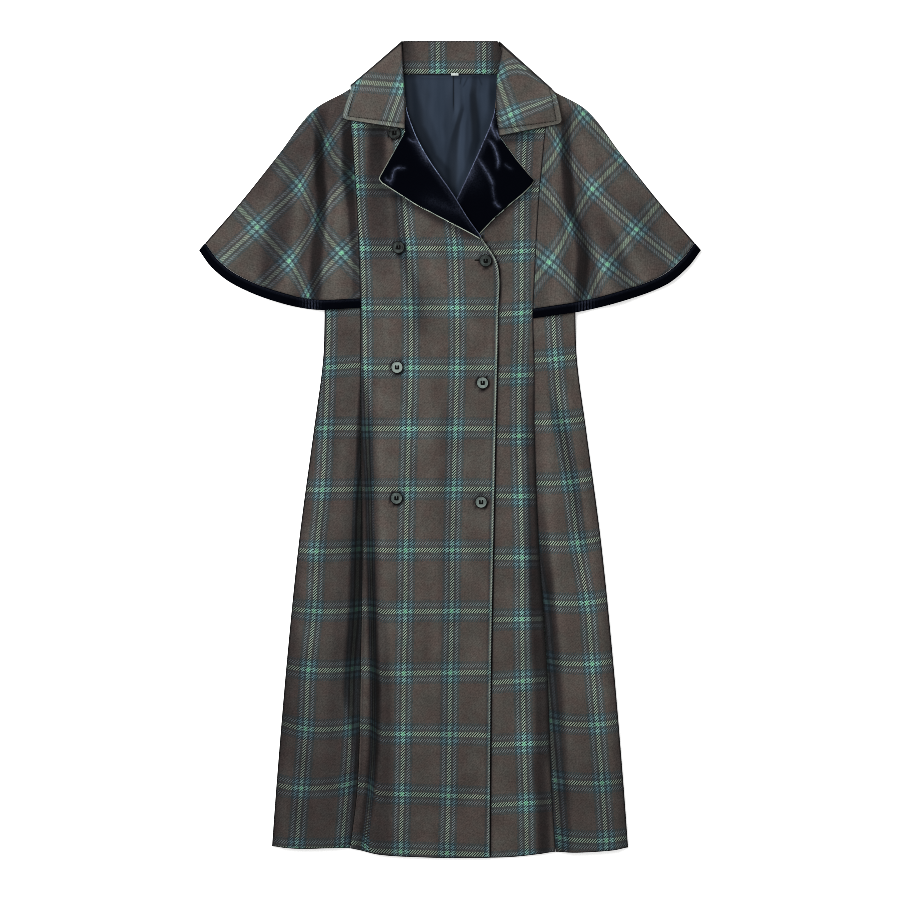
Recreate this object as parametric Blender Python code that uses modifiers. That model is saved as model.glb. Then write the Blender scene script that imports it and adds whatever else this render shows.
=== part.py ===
"""Cape coat in plaid wool, buttoned and laid flat on its back.

Metres, +Z up. +Y runs from the hem to the collar and +X to the wearer's left.
Each panel is a grid set out between its seams, lifted to the height at which it
lies, then thickened into a cloth wall. Neighbours stay one seam gap apart.
"""

import math
from collections import namedtuple

import bmesh
import bpy
from mathutils import Matrix, Vector
from mathutils.bvhtree import BVHTree

# Wall thickness of each cloth, the gap at every seam, and slack between unlike facets
COATING = 0.0020
LAPEL_CLOTH = 0.0015
VELVET = 0.0012
SATIN = 0.0008
COLLAR_CLOTH = 0.0026
BINDING = 0.0030
GAP = 0.0003
FACET_SLACK = 0.0003

# Lift of a panel that lies on another
LAYER = COATING + GAP
OVER_BINDING = BINDING + GAP
OVER_LAPEL = LAPEL_CLOTH + VELVET + 2 * GAP + 4 * FACET_SLACK

# Neck and shoulder
NECK_Y = 0.5625
NECK_HALF = 0.0730
SHOULDER_X = 0.1490
SHOULDER_END_X = 0.1590
SHOULDER_Y = 0.5300

# Where the back steps up on to the capes and the collar that lie under it
CAPE_STEP_X = (0.0906, 0.1186)
CAPE_STEP_Y = (0.1515, 0.1905)
COLLAR_STEP_Y = (0.4300, 0.5100)

# Where the right front steps up on to the left front and its lapel
OVERLAP_STEP = (0.0850, 0.0200)
LAPEL_STEP_Y = (0.2250, 0.2900)

# Cape sleeves
CAPE_TOP_Y = 0.5260
CAPE_HEM_RIGHT = 0.2125
CAPE_HEM_LEFT = 0.1965
CAPE_SEAM_LEVEL = 0.0086
CAPE_EDGE_LEVEL = 0.0026
BINDING_SHARE = 0.043
BINDING_GAP_SHARE = 0.001
BINDING_DROP = 0.0005
CAPE_BODY_MARGIN = (0.0070, 0.0220)

# Centre fronts and sides
LIP = 0.0090
RIDGE_REACH = 0.0550
SIDE_PUFF = 0.0036
SIDE_VALLEY = 0.0340
SIDE_ROUND = 0.0240
SIDE_PUFF_Y = (0.1500, -0.0500)
BACK_HEM_SHORT = 0.0040
SIDE_TOP_Y = 0.4300

# Lapels and lining
FACING_INSET = 0.0018
LINING_HALF = 0.0850
LINING_BOTTOM = 0.3000
LINING_FOLD = 0.0016
LINING_FOLD_PITCH = 0.0340

# Buttons
BUTTON_DIAMETER = 0.0205
BUTTON_THICKNESS = 0.0040
BUTTON_RIM = 0.0024
BUTTON_DISH = 0.0008
BUTTON_EDGE = 0.0006
HOLE_DIAMETER = 0.0020
HOLE_SPACING = 0.0038

# Label
LABEL_CENTRE = (0.0071, 0.5622)
LABEL_SIZE = (0.0113, 0.0044)

# Seams and free edges of the body, from the hem up
Section = namedtuple("Section", "y side right_seam left_seam right_edge left_edge")
BODY = (
    Section(-0.620, 0.2680, -0.1525, 0.1592, 0.0593, -0.0640),
    Section(-0.500, 0.2593, -0.1382, 0.1520, 0.0600, -0.0640),
    Section(-0.320, 0.2447, -0.1337, 0.1450, 0.0610, -0.0650),
    Section(-0.140, 0.2265, -0.1315, 0.1358, 0.0624, -0.0650),
    Section(0.030, 0.2036, -0.1350, 0.1284, 0.0658, -0.0650),
    Section(0.130, 0.1900, -0.1350, 0.1272, 0.0690, -0.0650),
    Section(0.200, 0.1875, -0.1335, 0.1246, 0.0709, -0.0650),
    Section(0.275, 0.1890, -0.1352, 0.1272, 0.0712, -0.0560),
    Section(0.316, 0.1860, -0.1368, 0.1292, 0.0555, -0.0220),
    Section(0.380, 0.1660, -0.1400, 0.1333, 0.0120, 0.0120),
    Section(0.487, 0.1460, -0.1485, 0.1432, -0.0628, 0.0700),
    Section(0.570, 0.1380, -0.1490, 0.1470, -0.0700, 0.0720),
)

# Underside of the centre fronts: away from the seam, at the seam, and the fold beside it
Level = namedtuple("Level", "y body seam ridge")
LEVELS = (
    Level(-0.620, 0.0026, 0.0026, 0.0005),
    Level(-0.520, 0.0028, 0.0026, 0.0022),
    Level(-0.330, 0.0030, 0.0025, 0.0048),
    Level(-0.120, 0.0030, 0.0025, 0.0052),
    Level(0.040, 0.0030, 0.0026, 0.0026),
    Level(0.120, 0.0034, 0.0030, 0.0006),
    Level(0.170, 0.0048, 0.0048, 0.0002),
    Level(0.215, 0.0068, 0.0086, 0.0000),
    Level(0.300, 0.0076, 0.0086, 0.0000),
    Level(0.580, 0.0076, 0.0086, 0.0000),
)

# Line of the hem across the fronts
HemPoint = namedtuple("HemPoint", "x y")
HEM = (
    HemPoint(-0.2665, -0.5950),
    HemPoint(-0.2100, -0.5980),
    HemPoint(-0.1500, -0.5995),
    HemPoint(-0.0950, -0.6085),
    HemPoint(-0.0200, -0.6112),
    HemPoint(0.0400, -0.6127),
    HemPoint(0.1000, -0.6085),
    HemPoint(0.1560, -0.6022),
    HemPoint(0.1950, -0.6035),
    HemPoint(0.2665, -0.5955),
)

# Rings of a cape sleeve from the neck to the hem: its shoulder edge, and its share of the hem's sag
Ring = namedtuple("Ring", "share edge_x edge_y sag")
CAPE_RINGS = (
    Ring(0.00, 0.1545, 0.5395, 0.00),
    Ring(0.15, 0.2045, 0.5095, 0.06),
    Ring(0.40, 0.2550, 0.4455, 0.26),
    Ring(0.70, 0.3130, 0.3725, 0.58),
    Ring(1.00, 0.3765, 0.2990, 1.00),
)

# Sag of each cape hem below the straight line from its seam to its corner
Sag = namedtuple("Sag", "across right left")
CAPE_SAG = (
    Sag(0.00, 0.0000, 0.0000),
    Sag(0.25, 0.0255, 0.0165),
    Sag(0.50, 0.0340, 0.0265),
    Sag(0.75, 0.0304, 0.0283),
    Sag(0.90, 0.0175, 0.0160),
    Sag(1.00, 0.0000, 0.0000),
)

# Folds that fall from the shoulder: place across the cape at neck and hem, rise, spread
Flute = namedtuple("Flute", "neck hem rise spread")
CAPE_FLUTES = (
    Flute(0.22, 0.14, 0.0040, 0.080),
    Flute(0.46, 0.31, -0.0060, 0.055),
    Flute(0.66, 0.47, 0.0062, 0.100),
    Flute(0.86, 0.80, 0.0022, 0.110),
)

# Sections of the turned-down collar, from the right leaf round the back to the left leaf
Leaf = namedtuple("Leaf", "roll_x roll_y roll_z edge_x edge_y edge_z")
COLLAR = (
    Leaf(-0.0660, 0.4815, 0.0134, -0.1630, 0.4965, 0.0112),
    Leaf(-0.0675, 0.5150, 0.0132, -0.1570, 0.5190, 0.0112),
    Leaf(-0.0675, 0.5600, 0.0112, -0.1500, 0.5385, 0.0110),
    Leaf(-0.0690, 0.5990, 0.0090, -0.1462, 0.5445, 0.0092),
    Leaf(-0.0690, 0.6105, 0.0060, -0.1455, 0.5455, 0.0062),
    Leaf(-0.0640, 0.6075, 0.0031, -0.1380, 0.5440, 0.0031),
    Leaf(-0.0300, 0.6100, 0.0031, -0.0700, 0.5470, 0.0031),
    Leaf(0.0020, 0.6100, 0.0031, 0.0020, 0.5475, 0.0031),
    Leaf(0.0345, 0.6100, 0.0031, 0.0740, 0.5470, 0.0031),
    Leaf(0.0690, 0.6075, 0.0031, 0.1415, 0.5425, 0.0031),
    Leaf(0.0705, 0.6105, 0.0060, 0.1490, 0.5410, 0.0062),
    Leaf(0.0720, 0.5990, 0.0090, 0.1535, 0.5380, 0.0092),
    Leaf(0.0715, 0.5600, 0.0112, 0.1600, 0.5310, 0.0112),
    Leaf(0.0735, 0.5150, 0.0132, 0.1650, 0.5110, 0.0112),
    Leaf(0.0765, 0.4790, 0.0134, 0.1685, 0.4905, 0.0112),
)

# Inner side of the collar stand: its lower and upper edge behind the neck
Stand = namedtuple("Stand", "y right_x left_x z")
COLLAR_STAND = (
    Stand(0.5630, -0.0720, 0.0780, 0.0057),
    Stand(0.5880, -0.0690, 0.0740, 0.0046),
    Stand(0.6127, -0.0655, 0.0700, 0.0035),
)

# Lapels from the neck to the break: height on the roll line, point on the outer edge
Lapel = namedtuple("Lapel", "roll_y edge_x edge_y")
LAPEL_RIGHT = (
    Lapel(0.484, -0.0705, 0.4725),
    Lapel(0.462, -0.1040, 0.4150),
    Lapel(0.445, -0.1045, 0.4025),
    Lapel(0.400, -0.0500, 0.3665),
    Lapel(0.360, 0.0000, 0.3400),
    Lapel(0.330, 0.0350, 0.3205),
    Lapel(0.316, 0.0490, 0.3110),
)
LAPEL_LEFT = (
    Lapel(0.484, 0.0760, 0.4700),
    Lapel(0.462, 0.1250, 0.4110),
    Lapel(0.445, 0.1275, 0.4000),
    Lapel(0.405, 0.0960, 0.3720),
    Lapel(0.370, 0.0660, 0.3440),
    Lapel(0.340, 0.0460, 0.3240),
    Lapel(0.316, 0.0180, 0.3000),
)

# Buttons, numbered down the right column and then down the left
Button = namedtuple("Button", "x y")
BUTTONS = (
    Button(-0.0833, 0.4725),
    Button(-0.0770, 0.3018),
    Button(-0.0795, 0.1230),
    Button(-0.0802, -0.0728),
    Button(0.0531, 0.2820),
    Button(0.0488, 0.0998),
    Button(0.0465, -0.0788),
)

# Base colour and roughness of each material
Finish = namedtuple("Finish", "colour roughness")
FINISHES = {
    "plaid coating": Finish((0.100, 0.085, 0.070), 0.90),
    "velvet": Finish((0.008, 0.009, 0.014), 0.95),
    "lining satin": Finish((0.030, 0.040, 0.062), 0.45),
    "button resin": Finish((0.160, 0.190, 0.175), 0.35),
    "label tape": Finish((0.690, 0.770, 0.730), 0.70),
}


def smooth(share):
    """Ease from 0 to 1, flat at both ends."""
    share = min(max(share, 0.0), 1.0)
    return share * share * (3.0 - 2.0 * share)


def ramp(value, start, end):
    """0 before start, 1 past end, eased between."""
    return smooth((value - start) / (end - start))


def mix(first, second, share):
    return first + (second - first) * share


def at(rows, column, place):
    """Value of a table column on the smooth curve through its rows."""
    keys = [row[0] for row in rows]
    values = [getattr(row, column) for row in rows]
    place = min(max(place, keys[0]), keys[-1])
    last = len(rows) - 1
    start = max(index for index in range(last) if keys[index] <= place)
    span = keys[start + 1] - keys[start]

    def slope(index):
        before = max(index - 1, 0)
        after = min(index + 1, last)
        return (values[after] - values[before]) / (keys[after] - keys[before])

    share = (place - keys[start]) / span
    rise = values[start + 1] - values[start]
    leave = slope(start) * span
    arrive = slope(start + 1) * span
    curve = leave + share * (3 * rise - 2 * leave - arrive + share * (leave + arrive - 2 * rise))
    return values[start] + share * curve


def along(rows, column, share):
    """Value of a table column at a share of the way down its rows, in straight steps."""
    place = min(max(share, 0.0), 1.0) * (len(rows) - 1)
    start = min(int(place), len(rows) - 2)
    return mix(getattr(rows[start], column), getattr(rows[start + 1], column), place - start)


def back_underside(x, y):
    """The back rests on the table and steps up over the capes and the collar."""
    cape = ramp(abs(x), *CAPE_STEP_X) * ramp(y, *CAPE_STEP_Y)
    collar = ramp(y, *COLLAR_STEP_Y)
    return OVER_BINDING * max(cape, collar)


def lining_fold(x, y):
    """Soft folds of the lining where it shows between the lapels."""
    inside = ramp(x, at(BODY, "right_edge", y) + 0.002, at(BODY, "right_edge", y) + 0.014)
    inside *= ramp(-x, -at(BODY, "left_edge", y) + 0.002, -at(BODY, "left_edge", y) + 0.014)
    inside *= ramp(NECK_Y - y, 0.004, 0.030)
    wave = 0.5 + 0.5 * math.cos(2 * math.pi * x / LINING_FOLD_PITCH)
    return LINING_FOLD * wave * inside


def front_underside(x, y, from_seam):
    """A centre front: down at its seam, a long fold beside it, level beyond."""
    fold = math.sin(math.pi * min(max(from_seam / RIDGE_REACH, 0.0), 1.0) ** 0.55)
    level = at(LEVELS, "body", y) + at(LEVELS, "ridge", y) * fold
    level = max(level, back_underside(x, y) + LAYER)
    return mix(at(LEVELS, "seam", y), level, smooth(from_seam / LIP))


def left_front_underside(x, y):
    return front_underside(x, y, at(BODY, "left_seam", y) - x)


def right_front_underside(x, y):
    """The right front steps up over the left front and, at the chest, over its lapel."""
    edge = at(BODY, "left_edge", y)
    from_seam = x - at(BODY, "right_seam", y)
    overlap = ramp(x, edge - OVERLAP_STEP[0], edge - OVERLAP_STEP[1]) * smooth(from_seam / LIP)
    lapel = overlap * ramp(y, *LAPEL_STEP_Y)
    level = front_underside(x, y, from_seam)
    return level + (LAYER + FACET_SLACK) * overlap + OVER_LAPEL * lapel


def side_puff(y, from_seam, from_side):
    """A side panel is low along the front seam, full in the middle, low at the side seam."""
    below_cape = ramp(y, *SIDE_PUFF_Y)
    return SIDE_PUFF * below_cape * smooth(from_seam / SIDE_VALLEY) * smooth(from_side / SIDE_ROUND)


def cape_front_underside(x, y, across, share):
    """A cape front: on the body at its seam, fluted below the shoulder, low at its edge."""
    lowest = mix(CAPE_EDGE_LEVEL, OVER_BINDING + BINDING_DROP, ramp(share, 0.78, 0.92))
    level = mix(CAPE_SEAM_LEVEL, lowest, smooth(across / 0.5))
    for flute in CAPE_FLUTES:
        away = (across - mix(flute.neck, flute.hem, share)) / flute.spread
        ends = smooth(across / 0.08) * smooth((1.0 - across) / 0.15)
        level += flute.rise * math.exp(-away * away) * smooth(share / 0.55) * ends
    beside = at(BODY, "side", y)
    body = 1.0 - ramp(abs(x), beside + CAPE_BODY_MARGIN[0], beside + CAPE_BODY_MARGIN[1])
    return max(level, mix(lowest, CAPE_SEAM_LEVEL, body))


def cape_place(side, across, share):
    """Point of a cape sleeve, across from the raglan seam and down from the neck."""
    word = "right" if side < 0 else "left"
    hem = CAPE_HEM_RIGHT if side < 0 else CAPE_HEM_LEFT
    seam_y = mix(CAPE_TOP_Y, hem, share)
    start = Vector((abs(at(BODY, word + "_seam", seam_y)) + GAP, seam_y))
    end = Vector((at(CAPE_RINGS, "edge_x", share), at(CAPE_RINGS, "edge_y", share)))
    chord = end - start
    outward = Vector((chord.y, -chord.x)).normalized()
    sag = at(CAPE_RINGS, "sag", share) * at(CAPE_SAG, word, across)
    place = start + chord * across + outward * sag
    return side * place.x, place.y


def top_of(panel):
    """Height of a finished panel's upper side at any point over it."""
    mesh = panel.data
    corners = [point.co for point in mesh.vertices]
    tree = BVHTree.FromPolygons(corners, [list(face.vertices) for face in mesh.polygons])

    def height(x, y):
        above = Vector((x, y, 0.1))
        spot = tree.ray_cast(above, Vector((0.0, 0.0, -1.0)))[0]
        return (spot or tree.find_nearest(above)[0]).z

    return height


def make_material(name):
    finish = FINISHES[name]
    material = bpy.data.materials.new(name)
    material.use_nodes = True
    shader = material.node_tree.nodes["Principled BSDF"]
    shader.inputs["Base Color"].default_value = (*finish.colour, 1.0)
    shader.inputs["Roughness"].default_value = finish.roughness
    material.diffuse_color = (*finish.colour, 1.0)
    return material


def add_object(name, mesh_data, material):
    """Put finished mesh data into the coat's collection under its own name."""
    mesh = bpy.data.meshes.new(name)
    mesh_data.to_mesh(mesh)
    mesh_data.free()
    mesh.materials.append(MATERIALS[material])
    piece = bpy.data.objects.new(name, mesh)
    COAT.objects.link(piece)
    return piece


def laid_grid(columns, rows, place):
    """Grid whose points go where place(across, up) puts them."""
    sheet = bmesh.new()
    bmesh.ops.create_grid(sheet, x_segments=columns, y_segments=rows, size=0.5)
    for point in sheet.verts:
        point.co = Vector(place(point.co.x + 0.5, point.co.y + 0.5))
    return sheet


def add_panel(name, columns, rows, place, thickness, material):
    """Cloth panel: a laid grid as its underside, thickened straight up."""
    sheet = laid_grid(columns, rows, place)
    raised = bmesh.ops.extrude_face_region(sheet, geom=sheet.faces[:])
    top = [item for item in raised["geom"] if isinstance(item, bmesh.types.BMVert)]
    bmesh.ops.translate(sheet, verts=top, vec=(0.0, 0.0, thickness))
    bmesh.ops.recalc_face_normals(sheet, faces=sheet.faces)
    return add_object(name, sheet, material)


def shoulder_line(x):
    """Top edge of the body panels, level at the neck and sloping down the shoulder."""
    return mix(NECK_Y - GAP, SHOULDER_Y, ramp(abs(x), NECK_HALF, SHOULDER_END_X))


def add_back():
    def place(across, up):
        spread = 2 * across - 1
        bottom = at(HEM, "y", spread * BODY[0].side) + BACK_HEM_SHORT
        y = mix(bottom, shoulder_line(spread * SHOULDER_X), up)
        x = spread * at(BODY, "side", y)
        return x, y, back_underside(x, y)

    return add_panel("back", 12, 26, place, COATING, "plaid coating")


def add_front(name, seam, edge, underside, columns):
    def place(across, up):
        across = across ** 1.6
        up = 1.25 * up - 0.25 * up * up
        hem_x = mix(getattr(BODY[0], seam), getattr(BODY[0], edge), across)
        top_x = mix(getattr(BODY[-1], seam), getattr(BODY[-1], edge), across)
        y = mix(at(HEM, "y", hem_x), shoulder_line(top_x), up)
        x = mix(at(BODY, seam, y), at(BODY, edge, y), across)
        return x, y, underside(x, y)

    return add_panel(name, columns, 30, place, COATING, "plaid coating")


def add_side_front(name, side, seam, back_top):
    def place(across, up):
        across = across ** 1.25
        hem_x = mix(getattr(BODY[0], seam), side * BODY[0].side, across)
        y = mix(at(HEM, "y", hem_x), SIDE_TOP_Y, up)
        start = at(BODY, seam, y) + side * GAP
        end = side * at(BODY, "side", y)
        x = mix(start, end, across)
        puff = side_puff(y, abs(x - start), abs(end - x))
        return x, y, back_top(x, y) + GAP + FACET_SLACK + puff

    add_panel(name, 7, 26, place, COATING, "plaid coating")


def add_cape(word, side):
    """Front and back half of a cape sleeve, each with its bound hem."""
    cloth_end = 1.0 - BINDING_SHARE - BINDING_GAP_SHARE

    def front_place(across, share, drop):
        x, y = cape_place(side, across, share)
        return x, y, cape_front_underside(x, y, across, share) - drop

    def back_place(across, share):
        x, y = cape_place(side, across, share)
        return x, y, 0.0

    def band_share(up):
        return mix(1.0, 1.0 - BINDING_SHARE, up)

    add_panel("cape_front_" + word, 20, 10,
              lambda across, up: front_place(across, cloth_end * (1.0 - up), 0.0),
              COATING, "plaid coating")
    add_panel("cape_back_" + word, 16, 6,
              lambda across, up: back_place(across, cloth_end * (1.0 - up)),
              COATING, "plaid coating")
    add_panel("binding_front_" + word, 20, 1,
              lambda across, up: front_place(across, band_share(up), BINDING_DROP),
              BINDING, "velvet")
    add_panel("binding_back_" + word, 16, 1,
              lambda across, up: back_place(across, band_share(up)),
              BINDING, "velvet")


def add_lapel(word, rows, edge, front):
    """Turned-back front and its velvet facing, each resting on the one below."""
    def place(across, up, below, inset):
        share = 1.0 - up
        roll_y = along(rows, "roll_y", share)
        roll = Vector((at(BODY, edge, roll_y), roll_y))
        outer = Vector((along(rows, "edge_x", share), along(rows, "edge_y", share)))
        width = (outer - roll).length
        spot = roll + (outer - roll) * across * (1.0 - inset / width)
        slack = FACET_SLACK * mix(1.5, 2.6, smooth(across / 0.25))
        return spot.x, spot.y, below(spot.x, spot.y) + GAP + slack

    steps = 2 * (len(rows) - 1)
    front_top = top_of(front)
    lapel = add_panel("lapel_" + word, 6, steps,
                      lambda across, up: place(across, up, front_top, 0.0),
                      LAPEL_CLOTH, "plaid coating")
    lapel_top = top_of(lapel)
    add_panel("facing_" + word, 6, steps,
              lambda across, up: place(across, up, lapel_top, FACING_INSET),
              VELVET, "velvet")


def add_lining(back_top):
    def place(across, up):
        x = mix(-LINING_HALF, LINING_HALF, across)
        y = mix(LINING_BOTTOM, NECK_Y - GAP, up)
        return x, y, back_top(x, y) + GAP + FACET_SLACK + lining_fold(x, y)

    add_panel("lining_back", 20, 8, place, SATIN, "lining satin")


def add_collar():
    """Stand behind the neck, and the fall that turns over it and down on the fronts."""
    def stand_place(across, up):
        x = mix(along(COLLAR_STAND, "right_x", up), along(COLLAR_STAND, "left_x", up), across)
        return x, along(COLLAR_STAND, "y", up), along(COLLAR_STAND, "z", up)

    add_panel("collar_stand", 8, 2, stand_place, COATING, "plaid coating")

    counted = [(number, *row) for number, row in enumerate(COLLAR)]
    Counted = namedtuple("Counted", "number " + " ".join(Leaf._fields))
    sections = [Counted(*row) for row in counted]

    def fall_place(around, down):
        number = around * (len(COLLAR) - 1)
        roll = Vector([at(sections, "roll_" + axis, number) for axis in "xyz"])
        edge = Vector([at(sections, "edge_" + axis, number) for axis in "xyz"])
        return roll.lerp(edge, down)

    fall = add_object("collar_fall", laid_grid(3 * (len(COLLAR) - 1), 4, fall_place), "plaid coating")
    wall = fall.modifiers.new("Collar cloth", "SOLIDIFY")
    wall.thickness = COLLAR_CLOTH
    wall.offset = 1.0
    wall.use_even_offset = False


def add_label():
    def place(across, up):
        x = LABEL_CENTRE[0] + (across - 0.5) * LABEL_SIZE[0]
        y = LABEL_CENTRE[1] + (up - 0.5) * LABEL_SIZE[1]
        return x, y, COLLAR_STAND[0].z + LAYER

    add_panel("neck_label", 1, 1, place, SATIN, "label tape")


def button_stance(spot, front_top):
    """Place and tilt of a button dropped on the front it is sewn to."""
    radius = BUTTON_DIAMETER / 2
    rim = [Matrix.Rotation(math.radians(turn), 2) @ Vector((radius, 0.0)) for turn in range(0, 360, 30)]
    heights = [front_top(spot.x + point.x, spot.y + point.y) for point in rim]
    slope_x = (heights[0] - heights[6]) / (2 * radius)
    slope_y = (heights[3] - heights[9]) / (2 * radius)
    clear = [height - slope_x * point.x - slope_y * point.y for height, point in zip(heights, rim)]
    seat = max(clear + [front_top(spot.x, spot.y)]) + GAP
    square = Vector((-slope_x, -slope_y, 1.0))
    turn = Vector((0.0, 0.0, 1.0)).rotation_difference(square).to_matrix().to_4x4()
    return Matrix.Translation((spot.x, spot.y, seat)) @ turn


def add_button(number, spot, front_top):
    """Round button with a raised rim and four thread holes."""
    radius = BUTTON_DIAMETER / 2
    stance = button_stance(spot, front_top)

    disc = bmesh.new()
    bmesh.ops.create_cone(disc, cap_ends=True, segments=16, radius1=radius, radius2=radius,
                          depth=BUTTON_THICKNESS)
    bmesh.ops.translate(disc, verts=disc.verts, vec=(0.0, 0.0, BUTTON_THICKNESS / 2))
    rims = [edge for edge in disc.edges if len({round(point.co.z, 6) for point in edge.verts}) == 1]
    bmesh.ops.bevel(disc, geom=rims, offset=BUTTON_EDGE, segments=1, affect="EDGES", profile=0.5,
                    material=-1)
    top = max(disc.faces, key=lambda face: face.calc_center_median().z)
    bmesh.ops.inset_region(disc, faces=[top], thickness=BUTTON_RIM - BUTTON_EDGE)
    bmesh.ops.translate(disc, verts=top.verts, vec=(0.0, 0.0, -BUTTON_DISH))
    button = add_object("button_" + str(number), disc, "button resin")
    button.matrix_world = stance

    holes = bmesh.new()
    for column in (-1, 1):
        for row in (-1, 1):
            centre = Vector((column, row, 0.0)) * (HOLE_SPACING / 2)
            bmesh.ops.create_cone(holes, cap_ends=True, segments=6, radius1=HOLE_DIAMETER / 2,
                                  radius2=HOLE_DIAMETER / 2, depth=4 * BUTTON_THICKNESS,
                                  matrix=Matrix.Translation(centre))
    mesh = bpy.data.meshes.new("holes_" + str(number))
    holes.to_mesh(mesh)
    holes.free()
    cutter = bpy.data.objects.new("holes_" + str(number), mesh)
    cutter.matrix_world = stance
    cutter.hide_render = True
    cutter.display_type = "WIRE"
    CUTTERS.objects.link(cutter)
    drill = button.modifiers.new("Thread holes", "BOOLEAN")
    drill.operation = "DIFFERENCE"
    drill.solver = "EXACT"
    drill.object = cutter


for old in list(bpy.data.objects):
    bpy.data.objects.remove(old, do_unlink=True)

COAT = bpy.data.collections.new("cape_coat")
CUTTERS = bpy.data.collections.new("cutters")
bpy.context.scene.collection.children.link(COAT)
bpy.context.scene.collection.children.link(CUTTERS)
MATERIALS = {name: make_material(name) for name in FINISHES}

back_top = top_of(add_back())
add_lining(back_top)
left = add_front("front_left", "left_seam", "left_edge", left_front_underside, 12)
right = add_front("front_right", "right_seam", "right_edge", right_front_underside, 14)
add_side_front("side_front_right", -1, "right_seam", back_top)
add_side_front("side_front_left", 1, "left_seam", back_top)
add_cape("right", -1)
add_cape("left", 1)
add_lapel("right", LAPEL_RIGHT, "right_edge", right)
add_lapel("left", LAPEL_LEFT, "left_edge", left)
add_collar()
add_label()
right_top = top_of(right)
for number, spot in enumerate(BUTTONS, start=1):
    add_button(number, spot, right_top)
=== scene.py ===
import math
from functools import partial

import bmesh
import bpy
import numpy as np
from mathutils import Matrix, Vector


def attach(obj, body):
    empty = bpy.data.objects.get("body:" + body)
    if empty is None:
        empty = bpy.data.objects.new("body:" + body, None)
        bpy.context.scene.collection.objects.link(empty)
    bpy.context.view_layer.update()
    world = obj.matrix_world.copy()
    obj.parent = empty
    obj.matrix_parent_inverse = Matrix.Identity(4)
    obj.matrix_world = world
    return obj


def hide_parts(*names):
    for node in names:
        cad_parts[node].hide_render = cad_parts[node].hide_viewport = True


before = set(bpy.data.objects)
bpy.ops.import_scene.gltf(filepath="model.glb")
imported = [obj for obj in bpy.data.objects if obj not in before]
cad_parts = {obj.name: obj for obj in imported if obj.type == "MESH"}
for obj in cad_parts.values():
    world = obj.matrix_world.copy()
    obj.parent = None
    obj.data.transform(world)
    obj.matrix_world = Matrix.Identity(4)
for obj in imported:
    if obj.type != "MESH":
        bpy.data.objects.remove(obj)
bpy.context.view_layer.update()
print("frame loaded with", len(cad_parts), "nodes")

# tables and fold rows are in millimetres, single sizes in metres
mm = 0.001
unitless = {"step", "share", "across", "number", "row", "tilt", "bow", "sag", "rim"}
toward = {"right": -1, "left": 1}  # the wearer's right lies at negative x

# thickness of each cloth, seam gap and slack
cloth = {"coating": 0.0020, "lapel": 0.0015, "velvet": 0.0012, "satin": 0.0008,
         "collar": 0.0026, "binding": 0.0030, "gap": 0.0003, "slack": 0.0003}
layer = cloth["coating"] + cloth["gap"]
overBinding = cloth["binding"] + cloth["gap"]
overLapel = cloth["lapel"] + cloth["velvet"] + 2 * cloth["gap"] + 4 * cloth["slack"]


# shaping helpers, all on whole arrays
def ease(share):
    share = np.clip(share, 0.0, 1.0)
    return share * share * (3.0 - 2.0 * share)


def ramp(value, start, end):
    return ease((value - start) / (end - start))


def blend(first, second, share):
    return first + (second - first) * share


def hump(away, spread):
    return np.exp(-(away / spread) ** 2)


# painted shade: the shape of a thin dark line along an edge
def outline(away, wide):  # thin dark line along an outer edge
    return np.exp(-(away / wide) ** 4)


def column(table, name):
    values = np.array(table["rows"], float)[:, table["columns"].index(name)]
    return values if name in unitless else values * mm


def curve(table, name, place):  # smooth curve through a table's rows
    keys, values = column(table, table["columns"][0]), column(table, name)
    steps = np.arange(len(keys))
    before, after = np.maximum(steps - 1, 0), np.minimum(steps + 1, steps[-1])
    slope = (values[after] - values[before]) / (keys[after] - keys[before])
    place = np.clip(place, keys[0], keys[-1])
    start = np.clip(np.searchsorted(keys, place, "right") - 1, 0, len(keys) - 2)
    span = keys[start + 1] - keys[start]
    share = (place - keys[start]) / span
    rise = values[start + 1] - values[start]
    leave, arrive = slope[start] * span, slope[start + 1] * span
    bend = 3 * rise - 2 * leave - arrive + share * (leave + arrive - 2 * rise)
    return values[start] + share * (leave + share * bend)


def straight(table, name, share):  # straight steps down a table's rows
    values = column(table, name)
    return np.interp(np.clip(share, 0.0, 1.0) * (len(values) - 1), np.arange(len(values)), values)


def foldLines(rows, x, y):  # soft lines from one point to another, tapered at both ends
    total = np.zeros_like(x)
    for fromX, fromY, toX, toY, rise, spread in rows:
        runX, runY = toX - fromX, toY - fromY
        outX, outY = x / mm - fromX, y / mm - fromY
        length = math.hypot(runX, runY)
        along = (outX * runX + outY * runY) / length
        away = (outX * runY - outY * runX) / length
        taper = ramp(along, -0.12 * length, 0.2 * length) * ramp(length - along, -0.12 * length, 0.2 * length)
        total += rise * hump(away, spread) * taper
    return total


def streak(points, spread, x, y):  # thin smooth line through a few points, fading at both ends
    course = {"columns": ("step", "x", "y"), "rows": [(i, *point) for i, point in enumerate(points)]}
    steps = np.linspace(0.0, len(points) - 1.0, 6 * len(points))
    alongX, alongY = curve(course, "x", steps), curve(course, "y", steps)
    total = np.zeros_like(x)
    for i, step in enumerate(steps / steps[-1]):
        fade = ease(3.0 * step + 0.25) * ease(3.0 * (1.0 - step) + 0.25)
        ahead = min(i + 1, len(steps) - 1)
        for between in (0.0, 0.5):
            spotX, spotY = blend(alongX[i], alongX[ahead], between), blend(alongY[i], alongY[ahead], between)
            total = np.maximum(total, fade * hump(np.hypot(x - spotX, y - spotY), spread * mm))
    return total


def foldShade(folds, x, y):  # folds that run up and down: rows of y, x, half width and depth in stops
    depth = np.zeros_like(x)
    for rows in folds:
        foldY, foldX, wide, stops = np.array(rows, float).T
        away = (x / mm - np.interp(y / mm, foldY, foldX)) / np.interp(y / mm, foldY, wide)
        depth += np.interp(y / mm, foldY, stops, 0.0, 0.0) * np.exp(-away ** 4)
    return 2.0 ** -depth


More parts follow.
